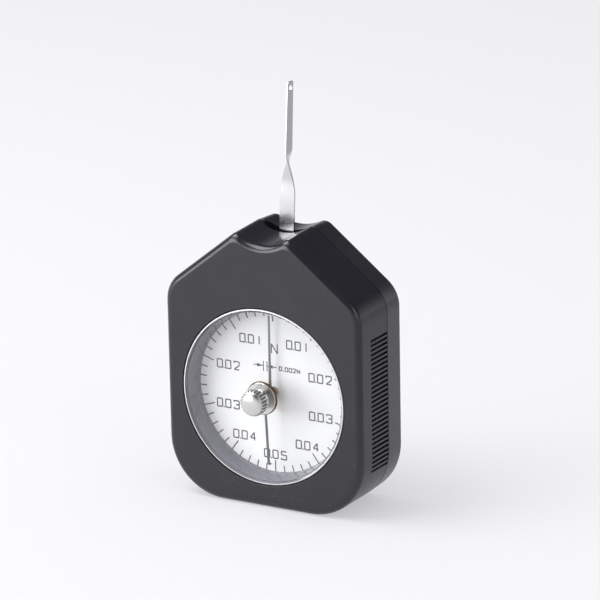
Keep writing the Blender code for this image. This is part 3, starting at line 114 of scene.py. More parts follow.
def trace_case(shape, arcs, depth, inset=0.0, draft=0.0, roof=None):
    """A closed line round the case at a depth, moved in by an inset. The right half is swept arc by
    arc and then mirrored. A roof ends it in a flat line under the scoop."""
    before = set(shape.edges)
    y = at_depth(depth)
    point = bmesh.ops.create_vert(shape, co=(0, y, inset))["vert"][0]
    normal = math.radians(-90)

    def line_to(target):
        if (point.co - target).length < SAME_PLACE:
            return point
        end = bmesh.ops.extrude_vert_indiv(shape, verts=[point])["verts"][0]
        end.co = target
        return end

    for x, z, radius, steps, last in arcs:
        centre, turn = Vector((x, y, z)), math.radians(last) - normal
        reach = Vector((math.cos(normal), 0, math.sin(normal))) * (radius - inset)
        point = line_to(centre + reach)
        swept = bmesh.ops.spin(shape, geom=[point], cent=centre, axis=(0, -1, 0), dvec=(0, 0, 0),
                               angle=turn, steps=steps, use_merge=False, use_normal_flip=False,
                               use_duplicate=False)
        point = swept["geom_last"][0]
        normal = math.radians(last)
    if roof is not None:
        across = point.co.x - (roof - point.co.z) * math.tan(normal)
        point = line_to(Vector((across, y, roof)))
        point = line_to(Vector((0, y, roof)))
    half = [edge for edge in shape.edges if edge not in before]
    points = list({vert for edge in half for vert in edge.verts})
    shrink = Vector((1 - draft / CASE_HALF_WIDTH, 1, 1 - draft / CASE_TOP))
    bmesh.ops.scale(shape, vec=shrink, verts=points)
    bmesh.ops.mirror(shape, geom=half + points, matrix=Matrix.Identity(4), axis="X",
                     merge_dist=SAME_PLACE)
    return [edge for edge in shape.edges if edge not in before]


def moulded(name, rings):
    """A closed solid through outlines of the case, each given as trace_case takes it."""
    shape = bmesh.new()
    lines = [trace_case(shape, *ring) for ring in rings]
    for near, far in zip(lines, lines[1:]):
        bmesh.ops.bridge_loops(shape, edges=near + far)
    for end in (lines[0], lines[-1]):
        bmesh.ops.edgeloop_fill(shape, edges=end)
    return solid_from(name, shape)


def solid_from(name, shape):
    """An object from a closed shape, with its doubles merged and its faces pointing outwards."""
    bmesh.ops.remove_doubles(shape, verts=shape.verts, dist=SAME_PLACE)
    bmesh.ops.recalc_face_normals(shape, faces=shape.faces)
    data = bpy.data.meshes.new(name)
    shape.to_mesh(data)
    shape.free()
    made = bpy.data.objects.new(name, data)
    bpy.context.scene.collection.objects.link(made)
    return made


def turned(name, profile, x=0.0, z=DIAL_HEIGHT, steps=32, ring=False):
    """A solid turned about a front-to-back axis through x and z, from points of radius and depth.
    The points start and end on the axis, or else close into a ring."""
    shape = bmesh.new()
    points = [bmesh.ops.create_vert(shape, co=(x + radius, at_depth(depth), z))["vert"][0]
              for radius, depth in profile]
    ends = points[1:] + points[:1] if ring else points[1:]
    lines = [shape.edges.new(pair) for pair in zip(points, ends)]
    bmesh.ops.spin(shape, geom=points + lines, cent=(x, 0, z), axis=(0, -1, 0), dvec=(0, 0, 0),
                   angle=math.tau, steps=steps, use_merge=True, use_normal_flip=False,
                   use_duplicate=False)
    return solid_from(name, shape)


def pin(radius, front, back, x=0.0, z=DIAL_HEIGHT, steps=32):
    """A round pin between two depths."""
    return turned("pin", [(0, front), (radius, front), (radius, back), (0, back)], x, z, steps)


def block(name, boxes):
    """Boxes in one mesh, each from its lowest and highest corner."""
    shape = bmesh.new()
    for low, high in boxes:
        low, high = Vector(low), Vector(high)
        size = Matrix.Diagonal((*(high - low), 1))
        bmesh.ops.create_cube(shape, size=1, matrix=Matrix.Translation((low + high) / 2) @ size)
    return solid_from(name, shape)


def joined(body, steps):
    """Adds and cuts solids in turn, and keeps the mesh that comes out. Each step is an operation
    and its solids."""
    for operation, others in steps:
        for other in others:
            step = body.modifiers.new(operation, "BOOLEAN")
            step.operation, step.solver, step.object = operation, "MANIFOLD", other
    bpy.context.view_layer.update()
    graph = bpy.context.evaluated_depsgraph_get()
    data = bpy.data.meshes.new_from_object(body.evaluated_get(graph))
    body.modifiers.clear()
    body.data = data
    for _, others in steps:
        for other in others:
            bpy.data.objects.remove(other)
    shape = bmesh.new()
    shape.from_mesh(data)
    bmesh.ops.remove_doubles(shape, verts=shape.verts, dist=SAME_PLACE)
    shape.to_mesh(data)
    shape.free()


def smooth(piece, angle=30):
    """Shades a piece smooth, apart from its edges that turn by more than an angle in degrees."""
    piece.data.shade_smooth()
    piece.data.set_sharp_from_angle(angle=math.radians(angle))
    weighted = piece.modifiers.new("face_weighted", "WEIGHTED_NORMAL")
    weighted.keep_sharp = True


def grained(name, dark, light, gloss, grain, relief, cloud=120.0, metallic=0.0, stretch=(1, 1, 1)):
    """A finish with a fine grain on a soft cloudiness. The colour runs from dark to light and the
    roughness over the gloss range, and the grain also stands in relief, in metres."""
    made = bpy.data.materials.new(name)
    made.use_nodes = True
    tree = made.node_tree
    shader = tree.nodes["Principled BSDF"]
    shader.inputs["Metallic"].default_value = metallic
    place = tree.nodes.new("ShaderNodeTexCoord")
    turn = tree.nodes.new("ShaderNodeMapping")
    turn.inputs["Scale"].default_value = stretch
    tree.links.new(place.outputs["Object"], turn.inputs["Vector"])
    fine, broad = (tree.nodes.new("ShaderNodeTexNoise") for _ in range(2))
    for noise, scale, detail in ((fine, grain, 3), (broad, cloud, 4)):
        noise.inputs["Scale"].default_value = scale
        noise.inputs["Detail"].default_value = detail
        tree.links.new(turn.outputs["Vector"], noise.inputs["Vector"])
    both = tree.nodes.new("ShaderNodeMath")
    both.operation = "ADD"
    tree.links.new(fine.outputs["Fac"], both.inputs[0])
    tree.links.new(broad.outputs["Fac"], both.inputs[1])
    colour = tree.nodes.new("ShaderNodeMix")
    colour.data_type = "RGBA"
    shade = tree.nodes.new("ShaderNodeMapRange")
    rough = tree.nodes.new("ShaderNodeMapRange")
    for spread, (low, high) in ((shade, (0, 1)), (rough, gloss)):
        spread.inputs["From Min"].default_value = NOISE_LOW
        spread.inputs["From Max"].default_value = NOISE_HIGH
        spread.inputs["To Min"].default_value = low
        spread.inputs["To Max"].default_value = high
        tree.links.new(both.outputs["Value"], spread.inputs["Value"])
    colour.inputs["A"].default_value = (*dark, 1)
    colour.inputs["B"].default_value = (*light, 1)
    tree.links.new(shade.outputs["Result"], colour.inputs["Factor"])
    tree.links.new(colour.outputs["Result"], shader.inputs["Base Color"])
    tree.links.new(rough.outputs["Result"], shader.inputs["Roughness"])
    bump = tree.nodes.new("ShaderNodeBump")
    bump.inputs["Distance"].default_value = relief
    tree.links.new(fine.outputs["Fac"], bump.inputs["Height"])
    tree.links.new(bump.outputs["Normal"], shader.inputs["Normal"])
    return made


def dressed(piece, finish, body, slot, *nodes):
    """Gives a finished piece its material and body, and hides the nodes it stands for. The slot is not
    used.
    """
    piece.data.materials.clear()
    piece.data.materials.append(finish)
    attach(piece, body)
    if nodes:
        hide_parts(*nodes)


def edge_rings(arcs, radius, face, inwards, steps):
    """Outlines round a rounded edge, from the outer face to where the side starts."""
    rings = []
    for angle in quarter_turn(steps):
        depth = face + inwards * radius * (1 - math.cos(angle))
        share = abs(depth - SEAM_MIDDLE) / (SEAM_MIDDLE if inwards > 0 else CASE_BACK - SEAM_MIDDLE)
        rings.append((arcs, depth, radius * (1 - math.sin(angle)), CASE_DRAFT * share))
    return rings


def lever_slot():
    """The cutter for the slot that the lever swings in, half in each shell."""
    shape = bmesh.new()
    straight = SLOT_HALF_LENGTH - SLOT_HALF_WIDTH
    corner = bmesh.ops.create_vert(
        shape, co=(straight, at_depth(SEAM_MIDDLE - SLOT_HALF_WIDTH), SLOT_FOOT))["vert"][0]
    for side in (1, -1):
        swept = bmesh.ops.spin(
            shape, geom=[corner], cent=(side * straight, at_depth(SEAM_MIDDLE), SLOT_FOOT),
            axis=(0, 0, 1), dvec=(0, 0, 0), angle=math.pi, steps=12, use_merge=False,
            use_normal_flip=False, use_duplicate=False)
        corner = swept["geom_last"][0]
        if side > 0:
            corner = bmesh.ops.extrude_vert_indiv(shape, verts=[corner])["verts"][0]
            corner.co.x = -straight
    ends = [vert for vert in shape.verts if len(vert.link_edges) == 1]
    bmesh.ops.contextual_create(shape, geom=ends)
    floor = bmesh.ops.edgeloop_fill(shape, edges=shape.edges)["faces"]
    top = bmesh.ops.extrude_face_region(shape, geom=floor)["geom"]
    bmesh.ops.translate(shape, vec=(0, 0, CASE_TOP + PAST - SLOT_FOOT),
                        verts=[item for item in top if isinstance(item, bmesh.types.BMVert)])
    return solid_from("slot", shape)


screw_places = [middle_of(f"case_screw_{number}") for number in range(1, 5)]
seam_arcs, back_arcs = lipped(LIP_RADIUS, SCOOP_LOW), lipped(BACK_LIP_RADIUS, SCOOP_LOW + SCOOP_RISE)
# The lips of the scoop get rounder towards the face.
front_edge = [
    (lipped(LIP_RADIUS + (FACE_LIP_RADIUS - LIP_RADIUS) * inset / FRONT_ROUNDING, SCOOP_LOW),
     depth, inset, draft)
    for _, depth, inset, draft in edge_rings(seam_arcs, FRONT_ROUNDING, 0, 1, 8)]
front_shell = moulded("front_shell", front_edge + [(seam_arcs, FRONT_SEAM - SEAM_EDGE),
                                                   (seam_arcs, FRONT_SEAM, SEAM_EDGE)])
hollow = moulded("hollow", [(SIDE_ARCS, depth, CASE_WALL, 0.0, SCOOP_LOW - CASE_WALL)
                            for depth in (CASE_WALL, FRONT_SEAM + PAST)])
mouth = [(BORE_RADIUS + BORE_MOUTH * (1 - math.sin(turn)), BORE_MOUTH * (1 - math.cos(turn)))
         for turn in quarter_turn(4)]
bore = turned("bore", [(0, -PAST), (BORE_RADIUS + BORE_MOUTH, -PAST), *mouth,
                       (BORE_RADIUS, WELL_FLOOR), (0, WELL_FLOOR)], steps=160)
posts = [pin(POST_RADIUS, WELL_START, POST_END, *place) for place in screw_places]
pilots = [pin(PILOT_RADIUS, PILOT_START, POST_END + PAST, *place, steps=16) for place in screw_places]
groove_heights = [DIAL_HEIGHT + GROOVE_RISE + (i - (GROOVES - 1) / 2) * GROOVE_PITCH
                  for i in range(GROOVES)]
grooves = block("grooves", [
    ((side * GROOVE_FLOOR, at_depth(GROOVE_START), height - GROOVE_HEIGHT / 2),
     (side * (CASE_HALF_WIDTH + PAST), at_depth(GROOVE_END), height + GROOVE_HEIGHT / 2))
    for height in groove_heights for side in (-1, 1)])
arbor_hole = pin(ARBOR_HOLE_RADIUS, WELL_FLOOR - PAST, WELL_BACK + PAST)
joined(front_shell, [
    ("DIFFERENCE", [hollow]),
    ("UNION", [pin(WELL_RADIUS, WELL_START, WELL_BACK, steps=96)] + posts),
    ("DIFFERENCE", [bore, arbor_hole, lever_slot(), grooves] + pilots)])

rear_shell = moulded("rear_shell", edge_rings(back_arcs, REAR_ROUNDING, CASE_BACK, -1, 6)
                     + [(seam_arcs, REAR_SEAM + SEAM_EDGE), (seam_arcs, REAR_SEAM, SEAM_EDGE)])
tongue = moulded("tongue", [(SIDE_ARCS, depth, TONGUE_INSET, 0.0, SCOOP_LOW - TONGUE_INSET)
                            for depth in (REAR_SEAM - TONGUE_HEIGHT, REAR_SEAM + CASE_WALL)])
inside = TONGUE_INSET + TONGUE_THICKNESS
rear_hollow = moulded("rear_hollow", [
    (SIDE_ARCS, depth, inside, 0.0, SCOOP_LOW - inside)
    for depth in (REAR_SEAM - TONGUE_HEIGHT - PAST, CASE_BACK - CASE_WALL)])
sleeves = [pin(SLEEVE_RADIUS, SLEEVE_START, CASE_BACK - CASE_WALL / 2, *place)
           for place in screw_places]
sink_profile = [(0, SINK_FLOOR), (SINK_RADIUS, SINK_FLOOR), (SINK_RADIUS, CASE_BACK - SINK_MOUTH),
                (SINK_RADIUS + SINK_MOUTH, CASE_BACK), (SINK_RADIUS + SINK_MOUTH, CASE_BACK + PAST),
                (0, CASE_BACK + PAST)]
sinks = [turned("sink", sink_profile, *place) for place in screw_places]
holes = [pin(SCREW_HOLE_RADIUS, SLEEVE_START - PAST, CASE_BACK, *place, steps=16)
         for place in screw_places]
joined(rear_shell, [("UNION", [tongue]), ("DIFFERENCE", [rear_hollow]), ("UNION", sleeves),
                    ("DIFFERENCE", sinks + holes + [lever_slot()])])

black_plastic = grained("moulded_black_plastic", dark=(0.0082, 0.0076, 0.0126),
                        light=(0.0116, 0.0109, 0.0172), gloss=(0.20, 0.30), grain=2600.0,
                        relief=0.000004)
black_plastic.node_tree.nodes["Principled BSDF"].inputs["IOR"].default_value = 1.6
for shell, node in ((front_shell, "front_case"), (rear_shell, "rear_case")):
    smooth(shell)
    dressed(shell, black_plastic, "case", "black_plastic", node)

# Crystal: a clear cup moulded in acrylic. Its front is thin, and its skirt reaches down to the dial.
# The skirt's outside is rough and dark grey: painted shade for the dim dial edge seen through the
# acrylic. The round edge in front, with a thin ring of the front face, is pale: a painted highlight.
CRYSTAL_HOLE, CRYSTAL_INNER, CRYSTAL_THROAT, CRYSTAL_OUTER = 0.00185, 0.0228, 0.0240, 0.0247
CRYSTAL_FRONT, CRYSTAL_END, CRYSTAL_EDGE, CRYSTAL_FILLET = 0.0008, 0.00625, 0.0003, 0.0004
FROST_START, HIGHLIGHT_RIM = 0.0005, 0.0001


def quarter_round(radius, depth, size):
    """Points of a quarter circle about a radius and a depth, from its outer end to its front end."""
    return [(radius + size * math.cos(turn), depth - size * math.sin(turn)) for turn in quarter_turn(5)]


crystal = turned("crystal_cup", [
    (CRYSTAL_HOLE, 0), (CRYSTAL_OUTER - CRYSTAL_EDGE - HIGHLIGHT_RIM, 0),
    *reversed(quarter_round(CRYSTAL_OUTER - CRYSTAL_EDGE, CRYSTAL_EDGE, CRYSTAL_EDGE)),
    (CRYSTAL_OUTER, FROST_START), (CRYSTAL_OUTER, CRYSTAL_END), (CRYSTAL_INNER, CRYSTAL_END),
    *quarter_round(CRYSTAL_THROAT - CRYSTAL_FILLET, CRYSTAL_FRONT + CRYSTAL_FILLET, CRYSTAL_FILLET),
    (CRYSTAL_HOLE, CRYSTAL_FRONT)], steps=160, ring=True)

clear = grained("clear_acrylic", dark=(0.97, 0.975, 0.98), light=(0.985, 0.99, 0.995),
                gloss=(0.0, 0.02), grain=900.0, relief=0.0000002, cloud=40.0)
tree = clear.node_tree
shader = tree.nodes["Principled BSDF"]
shader.inputs["Transmission Weight"].default_value = 1.0
shader.inputs["IOR"].default_value = 1.49
# Light from the lamps and from matt surfaces goes straight through.
path = tree.nodes.new("ShaderNodeLightPath")
straight = tree.nodes.new("ShaderNodeMath")
straight.operation = "MAXIMUM"
tree.links.new(path.outputs["Is Shadow Ray"], straight.inputs[0])
tree.links.new(path.outputs["Is Diffuse Ray"], straight.inputs[1])
through = tree.nodes.new("ShaderNodeBsdfTransparent")
mixed = tree.nodes.new("ShaderNodeMixShader")
tree.links.new(straight.outputs["Value"], mixed.inputs["Fac"])
tree.links.new(shader.outputs["BSDF"], mixed.inputs[1])
tree.links.new(through.outputs["BSDF"], mixed.inputs[2])
tree.links.new(mixed.outputs["Shader"], tree.nodes["Material Output"].inputs["Surface"])
# Dark grey on a rough finish for the skirt's outside: painted shade for the dim dial edge seen through
# the acrylic.
skirt_painted_shade = grained("acrylic_skirt_painted_shade", dark=(0.12, 0.12, 0.15), light=(0.16, 0.16, 0.197),
                  gloss=(0.35, 0.5), grain=1500.0, relief=0.00001, cloud=60.0)
# A pale colour for the round front edge: a painted highlight.
edge_painted_highlight = grained("acrylic_edge_painted_highlight", dark=(0.74, 0.74, 0.76), light=(0.84, 0.84, 0.86),
                    gloss=(0.25, 0.35), grain=1500.0, relief=0.000002, cloud=60.0)
smooth(crystal)
dressed(crystal, clear, "case", "clear_acrylic", "crystal")
crystal.data.materials.append(skirt_painted_shade)
crystal.data.materials.append(edge_painted_highlight)
for face in crystal.data.polygons:
    reach = math.hypot(face.center.x, face.center.z - DIAL_HEIGHT)
    # Faces on the skirt's outside get the painted shade.
    if reach > CRYSTAL_OUTER - CRYSTAL_EDGE / 5:
        face.material_index = 1
    # The round front edge and a thin ring inside it get the painted highlight.
    elif reach > CRYSTAL_OUTER - CRYSTAL_EDGE - HIGHLIGHT_RIM and face.center.y < at_depth(FROST_START):
        face.material_index = 2

# Dial: a silvered brass plate with two feet. Its scale is printed in dark grey ink and reads both
# ways from the top.
DIAL_FRONT, INK = 0.00655, 0.00003
TICKS, TICK_TURN, TICKS_PER_FIGURE = 50, 7.2, 5
SHORT_TICK_START, LONG_TICK_START, TICK_END, TICK_WIDTH = 0.0211, 0.0197, 0.0240, 0.00034
FIGURE_WIDTH, FIGURE_HEIGHT, FIGURE_ADVANCE = 0.00197, 0.00267, 0.00263
STROKE, CORNER = 0.00037, 0.00055
POINT = 0.00018  # half the width of a decimal point
# Each figure on the scale, and its lower left corner from the dial's centre.
FIGURE_PLACES = (
    ("0.01", -0.0105, 0.01248), ("0.01", 0.00399, 0.01247), ("0.02", -0.0178, 0.0042),
    ("0.02", 0.0107, 0.0042), ("0.03", -0.01807, -0.00703), ("0.03", 0.01067, -0.00672),
    ("0.04", -0.01315, -0.0153), ("0.04", 0.00638, -0.0154), ("0.05", -0.00358, -0.0194))
UNIT_PLACE, UNIT_SIZE, UNIT_STROKE, UNIT_CORNER = (-0.00055, 0.0107), (0.0018, 0.0027), 0.00036, 0.0001
# The mark for one division: two bars between arrows, and what the division is worth. Each arrow
# head has its root and its way, and is filled by hooks inside each other.
MARK_HEIGHT, MARK_STROKE, MARK_CORNER = 0.0068, 0.00028, 0.00025
BARS, BAR_LOW, BAR_HIGH = (-0.00315, -0.00205), 0.00525, 0.00817
SHAFTS = ((-0.00622, -0.00335), (0.00090, -0.00190))
ARROWS, ARROW_LENGTH, ARROW_HALF = ((-0.0051, 1), (-0.0003, -1)), 0.0013, 0.00038
WORTH_PLACE, WORTH_SIZE = (0.00175, 0.0061), (0.00078, 0.00110)
WORTH_ADVANCE, WORTH_POINT = 0.00122, 0.00062
# Each letter's strokes on a unit square, as corners of its middle line.
LETTERS = {
    "0": [[(0.5, 0), (1, 0), (1, 1), (0, 1), (0, 0), (0.53, 0)]],
    "1": [[(0.45, 0), (0.45, 1)]],
    "2": [[(0, 0.78), (0, 1), (1, 1), (1, 0.55), (0, 0), (1, 0)]],
    "3": [[(0, 0.8), (0, 1), (1, 1), (1, 0.53), (0.35, 0.53)],
          [(0.4, 0.51), (1, 0.51), (1, 0), (0, 0), (0, 0.2)]],
    "4": [[(0.75, 0), (0.75, 1)], [(0.74, 0.98), (0, 0.3), (1, 0.3)]],
    "5": [[(0.95, 1), (0, 1), (0, 0.56), (1, 0.56), (1, 0), (0, 0), (0, 0.16)]],
    "N": [[(0, 0), (0, 1)], [(0.02, 0.98), (0.98, 0.02)], [(1, 0), (1, 1)]],
}


def beads(name, routes, radius, roundness, fineness):
    """A shape of round beads with closed ends along smooth routes."""
    curve = bpy.data.curves.new(name, "CURVE")
    curve.dimensions, curve.use_fill_caps = "3D", True
    curve.bevel_depth, curve.bevel_resolution, curve.resolution_u = radius, roundness, fineness
    for route in routes:
        line = curve.splines.new("NURBS")
        line.points.add(len(route) - 1)
        for point, place in zip(line.points, route):
            point.co = (*place, 1)
        line.order_u, line.use_endpoint_u = 3, True
    lines = bpy.data.objects.new(name, curve)
    bpy.context.scene.collection.objects.link(lines)
    bpy.context.view_layer.update()
    shape = bmesh.new()
    shape.from_mesh(lines.to_mesh())
    bpy.data.objects.remove(lines)
    bpy.data.curves.remove(curve)
    return shape


def inked(name, strokes, width, corner):
    """Ink lines on the dial: each stroke is a flattened bead along its corners, given as x and z
    from the dial's centre. A corner size rounds its bends."""
    routes = []
    for stroke in strokes:
        corners = [Vector((x, z, 0)) for x, z in stroke]
        if len(corners) == 2:
            corners.insert(1, corners[0].lerp(corners[1], 0.5))
        route = [corners[0]]
        for before, here, after in zip(corners, corners[1:], corners[2:]):
            route += [here.lerp(there, min(0.5, corner / (there - here).length))
                      for there in (before, after)]
            route.insert(-1, here)
        routes.append(route + [corners[-1]])
    shape = beads(name, routes, width / 2, 1, 4)
    flat = Matrix.Rotation(math.pi / 2, 4, "X") @ Matrix.Diagonal((1, 1, INK / width, 1))
    onto_dial = Matrix.Translation((0, at_depth(DIAL_FRONT), DIAL_HEIGHT)) @ flat
    bmesh.ops.transform(shape, matrix=onto_dial, verts=shape.verts)
    return solid_from(name, shape)


def written(text, x, z, width, height, advance=0.0, point_room=0.0):
    """Strokes of a row of letters from its lower left corner. A point stands in the gap after a
    letter, and widens it by its room."""
    strokes, left = [], x
    for letter in text:
        if letter == ".":
            middle = left + (point_room + width - advance) / 2
            strokes.append([(middle - POINT, z), (middle + POINT, z)])
            left += point_room
            continue
        strokes += [[(left + a * width, z + b * height) for a, b in line] for line in LETTERS[letter]]
        left += advance
    return strokes


def refinished(node, finish):
    """Gives a node that keeps its shape another material."""
    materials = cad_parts[node].data.materials
    materials.clear()
    materials.append(finish)


ticks = bmesh.new()
for i in range(TICKS):
    inner = SHORT_TICK_START if i % TICKS_PER_FIGURE else LONG_TICK_START
    size = Matrix.Diagonal((TICK_WIDTH, INK, TICK_END - inner, 1))
    there = Matrix.Translation((0, at_depth(DIAL_FRONT) - INK / 2, (inner + TICK_END) / 2))
    turn = Matrix.Rotation(math.radians(TICK_TURN * i), 4, "Y")
    onto_dial = Matrix.Translation((0, 0, DIAL_HEIGHT)) @ turn
    bmesh.ops.create_cube(ticks, size=1, matrix=onto_dial @ there @ size)
scale_ticks = solid_from("scale_ticks", ticks)
inset = STROKE / 2
strokes = []
for text, x, z in FIGURE_PLACES:
    strokes += written(text, x + inset, z + inset, FIGURE_WIDTH - STROKE, FIGURE_HEIGHT - STROKE,
                       FIGURE_ADVANCE)
scale_figures = inked("scale_figures", strokes, STROKE, CORNER)
unit_mark = inked("unit_mark", written("N", *UNIT_PLACE, *UNIT_SIZE), UNIT_STROKE, UNIT_CORNER)
division = [[(x, MARK_HEIGHT) for x in shaft] for shaft in SHAFTS]
division += [[(x, BAR_LOW), (x, BAR_HIGH)] for x in BARS]
division += [[(root, MARK_HEIGHT - half), (root + way * (ARROW_LENGTH - half / 5), MARK_HEIGHT),
              (root, MARK_HEIGHT + half)]
             for root, way in ARROWS for half in (ARROW_HALF, ARROW_HALF / 2, ARROW_HALF / 4)]
division += written("0.002N", *WORTH_PLACE, *WORTH_SIZE, WORTH_ADVANCE, WORTH_POINT)
division_mark = inked("division_mark", division, MARK_STROKE, MARK_CORNER)
ink = grained("dark_grey_ink", dark=(0.028, 0.028, 0.033), light=(0.052, 0.052, 0.058),
              gloss=(0.4, 0.6), grain=6000.0, relief=0.000002)
for mark in (scale_ticks, scale_figures, unit_mark, division_mark):
    mark.data.shade_smooth()
    mark.data.set_sharp_from_angle(angle=math.radians(40))
    dressed(mark, ink, "case", "dark_steel")
silvered = grained("silvered_dial", dark=(0.87, 0.87, 0.885), light=(0.93, 0.93, 0.935),
                   gloss=(0.62, 0.72), grain=5200.0, relief=0.000002, metallic=0.15)
refinished("dial_plate", silvered)

# Crystal bush: a turned brass bush pressed into the hole of the crystal, in which the knob's stem
# turns. Its thin flange shows as a brown ring behind the knob.
BUSH_FRONT, BUSH_BACK, BUSH_END = -0.00045, -0.00010, 0.00095
BUSH_FLANGE, BUSH_BODY, BUSH_BORE, BUSH_CHAMFER = 0.0047, 0.0017, 0.00095, 0.00005
crystal_bush = turned("centre_bush", [
    (BUSH_BORE, BUSH_FRONT), (BUSH_FLANGE - BUSH_CHAMFER, BUSH_FRONT),
    (BUSH_FLANGE, BUSH_FRONT + BUSH_CHAMFER), (BUSH_FLANGE, BUSH_BACK - BUSH_CHAMFER),
    (BUSH_FLANGE - BUSH_CHAMFER, BUSH_BACK), (BUSH_BODY, BUSH_BACK), (BUSH_BODY, BUSH_END),
    (BUSH_BORE, BUSH_END)], steps=96, ring=True)
aged_brass = grained("aged_brass", dark=(0.16, 0.09, 0.045), light=(0.26, 0.155, 0.08),
                     gloss=(0.3, 0.42), grain=3000.0, relief=0.000002, metallic=1.0)
smooth(crystal_bush)
dressed(crystal_bush, aged_brass, "case", "brass", "crystal_bush")

# Reset knob: turned in brass and nickel plated. A wide thin flange, a neck, and a head with fine
# flutes and a domed face. A bore in its back takes the stem.
KNOB_BACK, KNOB_FLANGE_FRONT, KNOB_FLANGE, KNOB_NECK = -0.0006, -0.00105, 0.00445, 0.0022
HEAD_BACK, HEAD_FRONT, HEAD_RADIUS, DOME_RADIUS, DOME_RISE = -0.0033, -0.0059, 0.0036, 0.0032, 0.0010
KNOB_EDGE, NECK_FILLET, KNOB_BORE, KNOB_BORE_END = 0.0001, 0.0005, 0.00095, -0.0028
FLUTES, FLUTE_RADIUS, FLUTE_DEPTH = 24, 0.00036, 0.00040
FACES_SIDEWAYS = 0.2  # below this, a face of the head looks to the side, not to the front or back
dome = [(DOME_RADIUS * math.sin(turn), HEAD_FRONT - DOME_RISE * math.cos(turn))
        for turn in quarter_turn(14)]
neck_foot = [(KNOB_NECK + NECK_FILLET * (1 - math.cos(turn)),
              KNOB_FLANGE_FRONT - NECK_FILLET * (1 - math.sin(turn))) for turn in quarter_turn(5)]
knob = turned("thumb_knob", [
    *dome, (HEAD_RADIUS - KNOB_EDGE, HEAD_FRONT + KNOB_EDGE), (HEAD_RADIUS, HEAD_FRONT + 2 * KNOB_EDGE),
    (HEAD_RADIUS, HEAD_BACK - KNOB_EDGE), (HEAD_RADIUS - KNOB_EDGE, HEAD_BACK), (KNOB_NECK, HEAD_BACK),
    *neck_foot, (KNOB_FLANGE - KNOB_EDGE, KNOB_FLANGE_FRONT),
    (KNOB_FLANGE, KNOB_FLANGE_FRONT + KNOB_EDGE), (KNOB_FLANGE, KNOB_BACK - KNOB_EDGE),
    (KNOB_FLANGE - KNOB_EDGE, KNOB_BACK), (KNOB_BORE, KNOB_BACK), (KNOB_BORE, KNOB_BORE_END),
    (0, KNOB_BORE_END)], steps=96)
flute_reach = HEAD_RADIUS + FLUTE_RADIUS - FLUTE_DEPTH
flutes = [pin(FLUTE_RADIUS, HEAD_FRONT - DOME_RISE, HEAD_BACK + DOME_RISE, flute_reach * math.cos(turn),
              DIAL_HEIGHT + flute_reach * math.sin(turn), steps=12)
          for turn in (math.tau * i / FLUTES for i in range(FLUTES))]
joined(knob, [("DIFFERENCE", flutes)])
nickel = grained("nickel_plate", dark=(0.62, 0.61, 0.60), light=(0.74, 0.73, 0.72),
                 gloss=(0.2, 0.3), grain=3000.0, relief=0.000001, metallic=1.0)
# Darker nickel for the sides of the flutes: painted shade between the ridges.
flute_painted_shade = grained("painted_shade_in_flutes", dark=(0.17, 0.165, 0.16), light=(0.25, 0.24, 0.23),
                  gloss=(0.3, 0.4), grain=3000.0, relief=0.000001, metallic=0.8)
smooth(knob, 35)
dressed(knob, nickel, "knob", "nickel", "reset_knob")
knob.data.materials.append(flute_painted_shade)
# Faces on the sides of the flutes on the head get the painted shade.
for face in knob.data.polygons:
    reach = math.hypot(face.center.x, face.center.z - DIAL_HEIGHT)
    on_head = at_depth(HEAD_FRONT) < face.center.y < at_depth(HEAD_BACK)
    in_flute = HEAD_RADIUS - FLUTE_DEPTH - KNOB_EDGE < reach < HEAD_RADIUS - KNOB_EDGE
    if on_head and in_flute and abs(face.normal.y) < FACES_SIDEWAYS:
        face.material_index = 1

# Feeler lever: a strip of bright spring steel. It faces the reader where it leaves the case, a
# quarter twist turns its blade sideways, and the blade has a hole near its tip.
STRIP_WIDTH, STRIP_THICKNESS, STRIP_EDGE, STRIP_DEPTH = 0.0045, 0.0005, 0.00008, 0.0149
STRIP_FOOT, STRIP_BEND, TWIST_START, TWIST_END, STRIP_TIP = 0.0605, 0.0750, 0.0846, 0.0961, 0.1147
BLADE_WIDTH, TIP_WIDTH, TIP_CORNER = 0.0034, 0.0029, 0.0003
TIP_SETBACK = 0.00315  # how far the tip leans back from the foot
TWIST_STEPS, TWIST_PACE = 36, 1.3  # the pace is how much more the strip turns near the twist's end
HOLE_RADIUS, HOLE_HEIGHT, CLAMP_HOLE_RADIUS, CLAMP_HOLES = 0.0008, 0.1131, 0.00065, (0.06345, 0.06695)


def strip_middle(height):
    """Where the middle of the strip is at a height."""
    lean = TIP_SETBACK * max(0, height - STRIP_BEND) / (STRIP_TIP - STRIP_BEND)
    return Matrix.Translation((0, at_depth(STRIP_DEPTH) + lean, height))


def section_at(height, width, twist):
    """Where the strip's cross-section goes, from one that is STRIP_WIDTH wide."""
    narrowed = Matrix.Diagonal((width / STRIP_WIDTH, 1, 1, 1))
    return strip_middle(height) @ Matrix.Rotation(-twist, 4, "Z") @ narrowed


sections = [section_at(STRIP_FOOT, STRIP_WIDTH, 0), section_at(STRIP_BEND, STRIP_WIDTH, 0)]
for i in range(TWIST_STEPS + 1):
    share = i / TWIST_STEPS
    eased = share ** TWIST_PACE
    sections.append(section_at(TWIST_START + (TWIST_END - TWIST_START) * share,
                               STRIP_WIDTH + (BLADE_WIDTH - STRIP_WIDTH) * eased, math.pi / 2 * eased))
sections += [section_at(STRIP_TIP - TIP_CORNER, TIP_WIDTH, math.pi / 2),
             section_at(STRIP_TIP, TIP_WIDTH - 2 * TIP_CORNER, math.pi / 2)]
shape = bmesh.new()
outline = bmesh.ops.create_grid(shape, x_segments=1, y_segments=1, size=0.5,
                                matrix=Matrix.Diagonal((STRIP_WIDTH, STRIP_THICKNESS, 1, 1)))
bmesh.ops.bevel(shape, geom=outline["verts"], offset=STRIP_EDGE, segments=3, profile=0.5,
                affect="VERTICES", material=-1)
end = list(shape.faces)
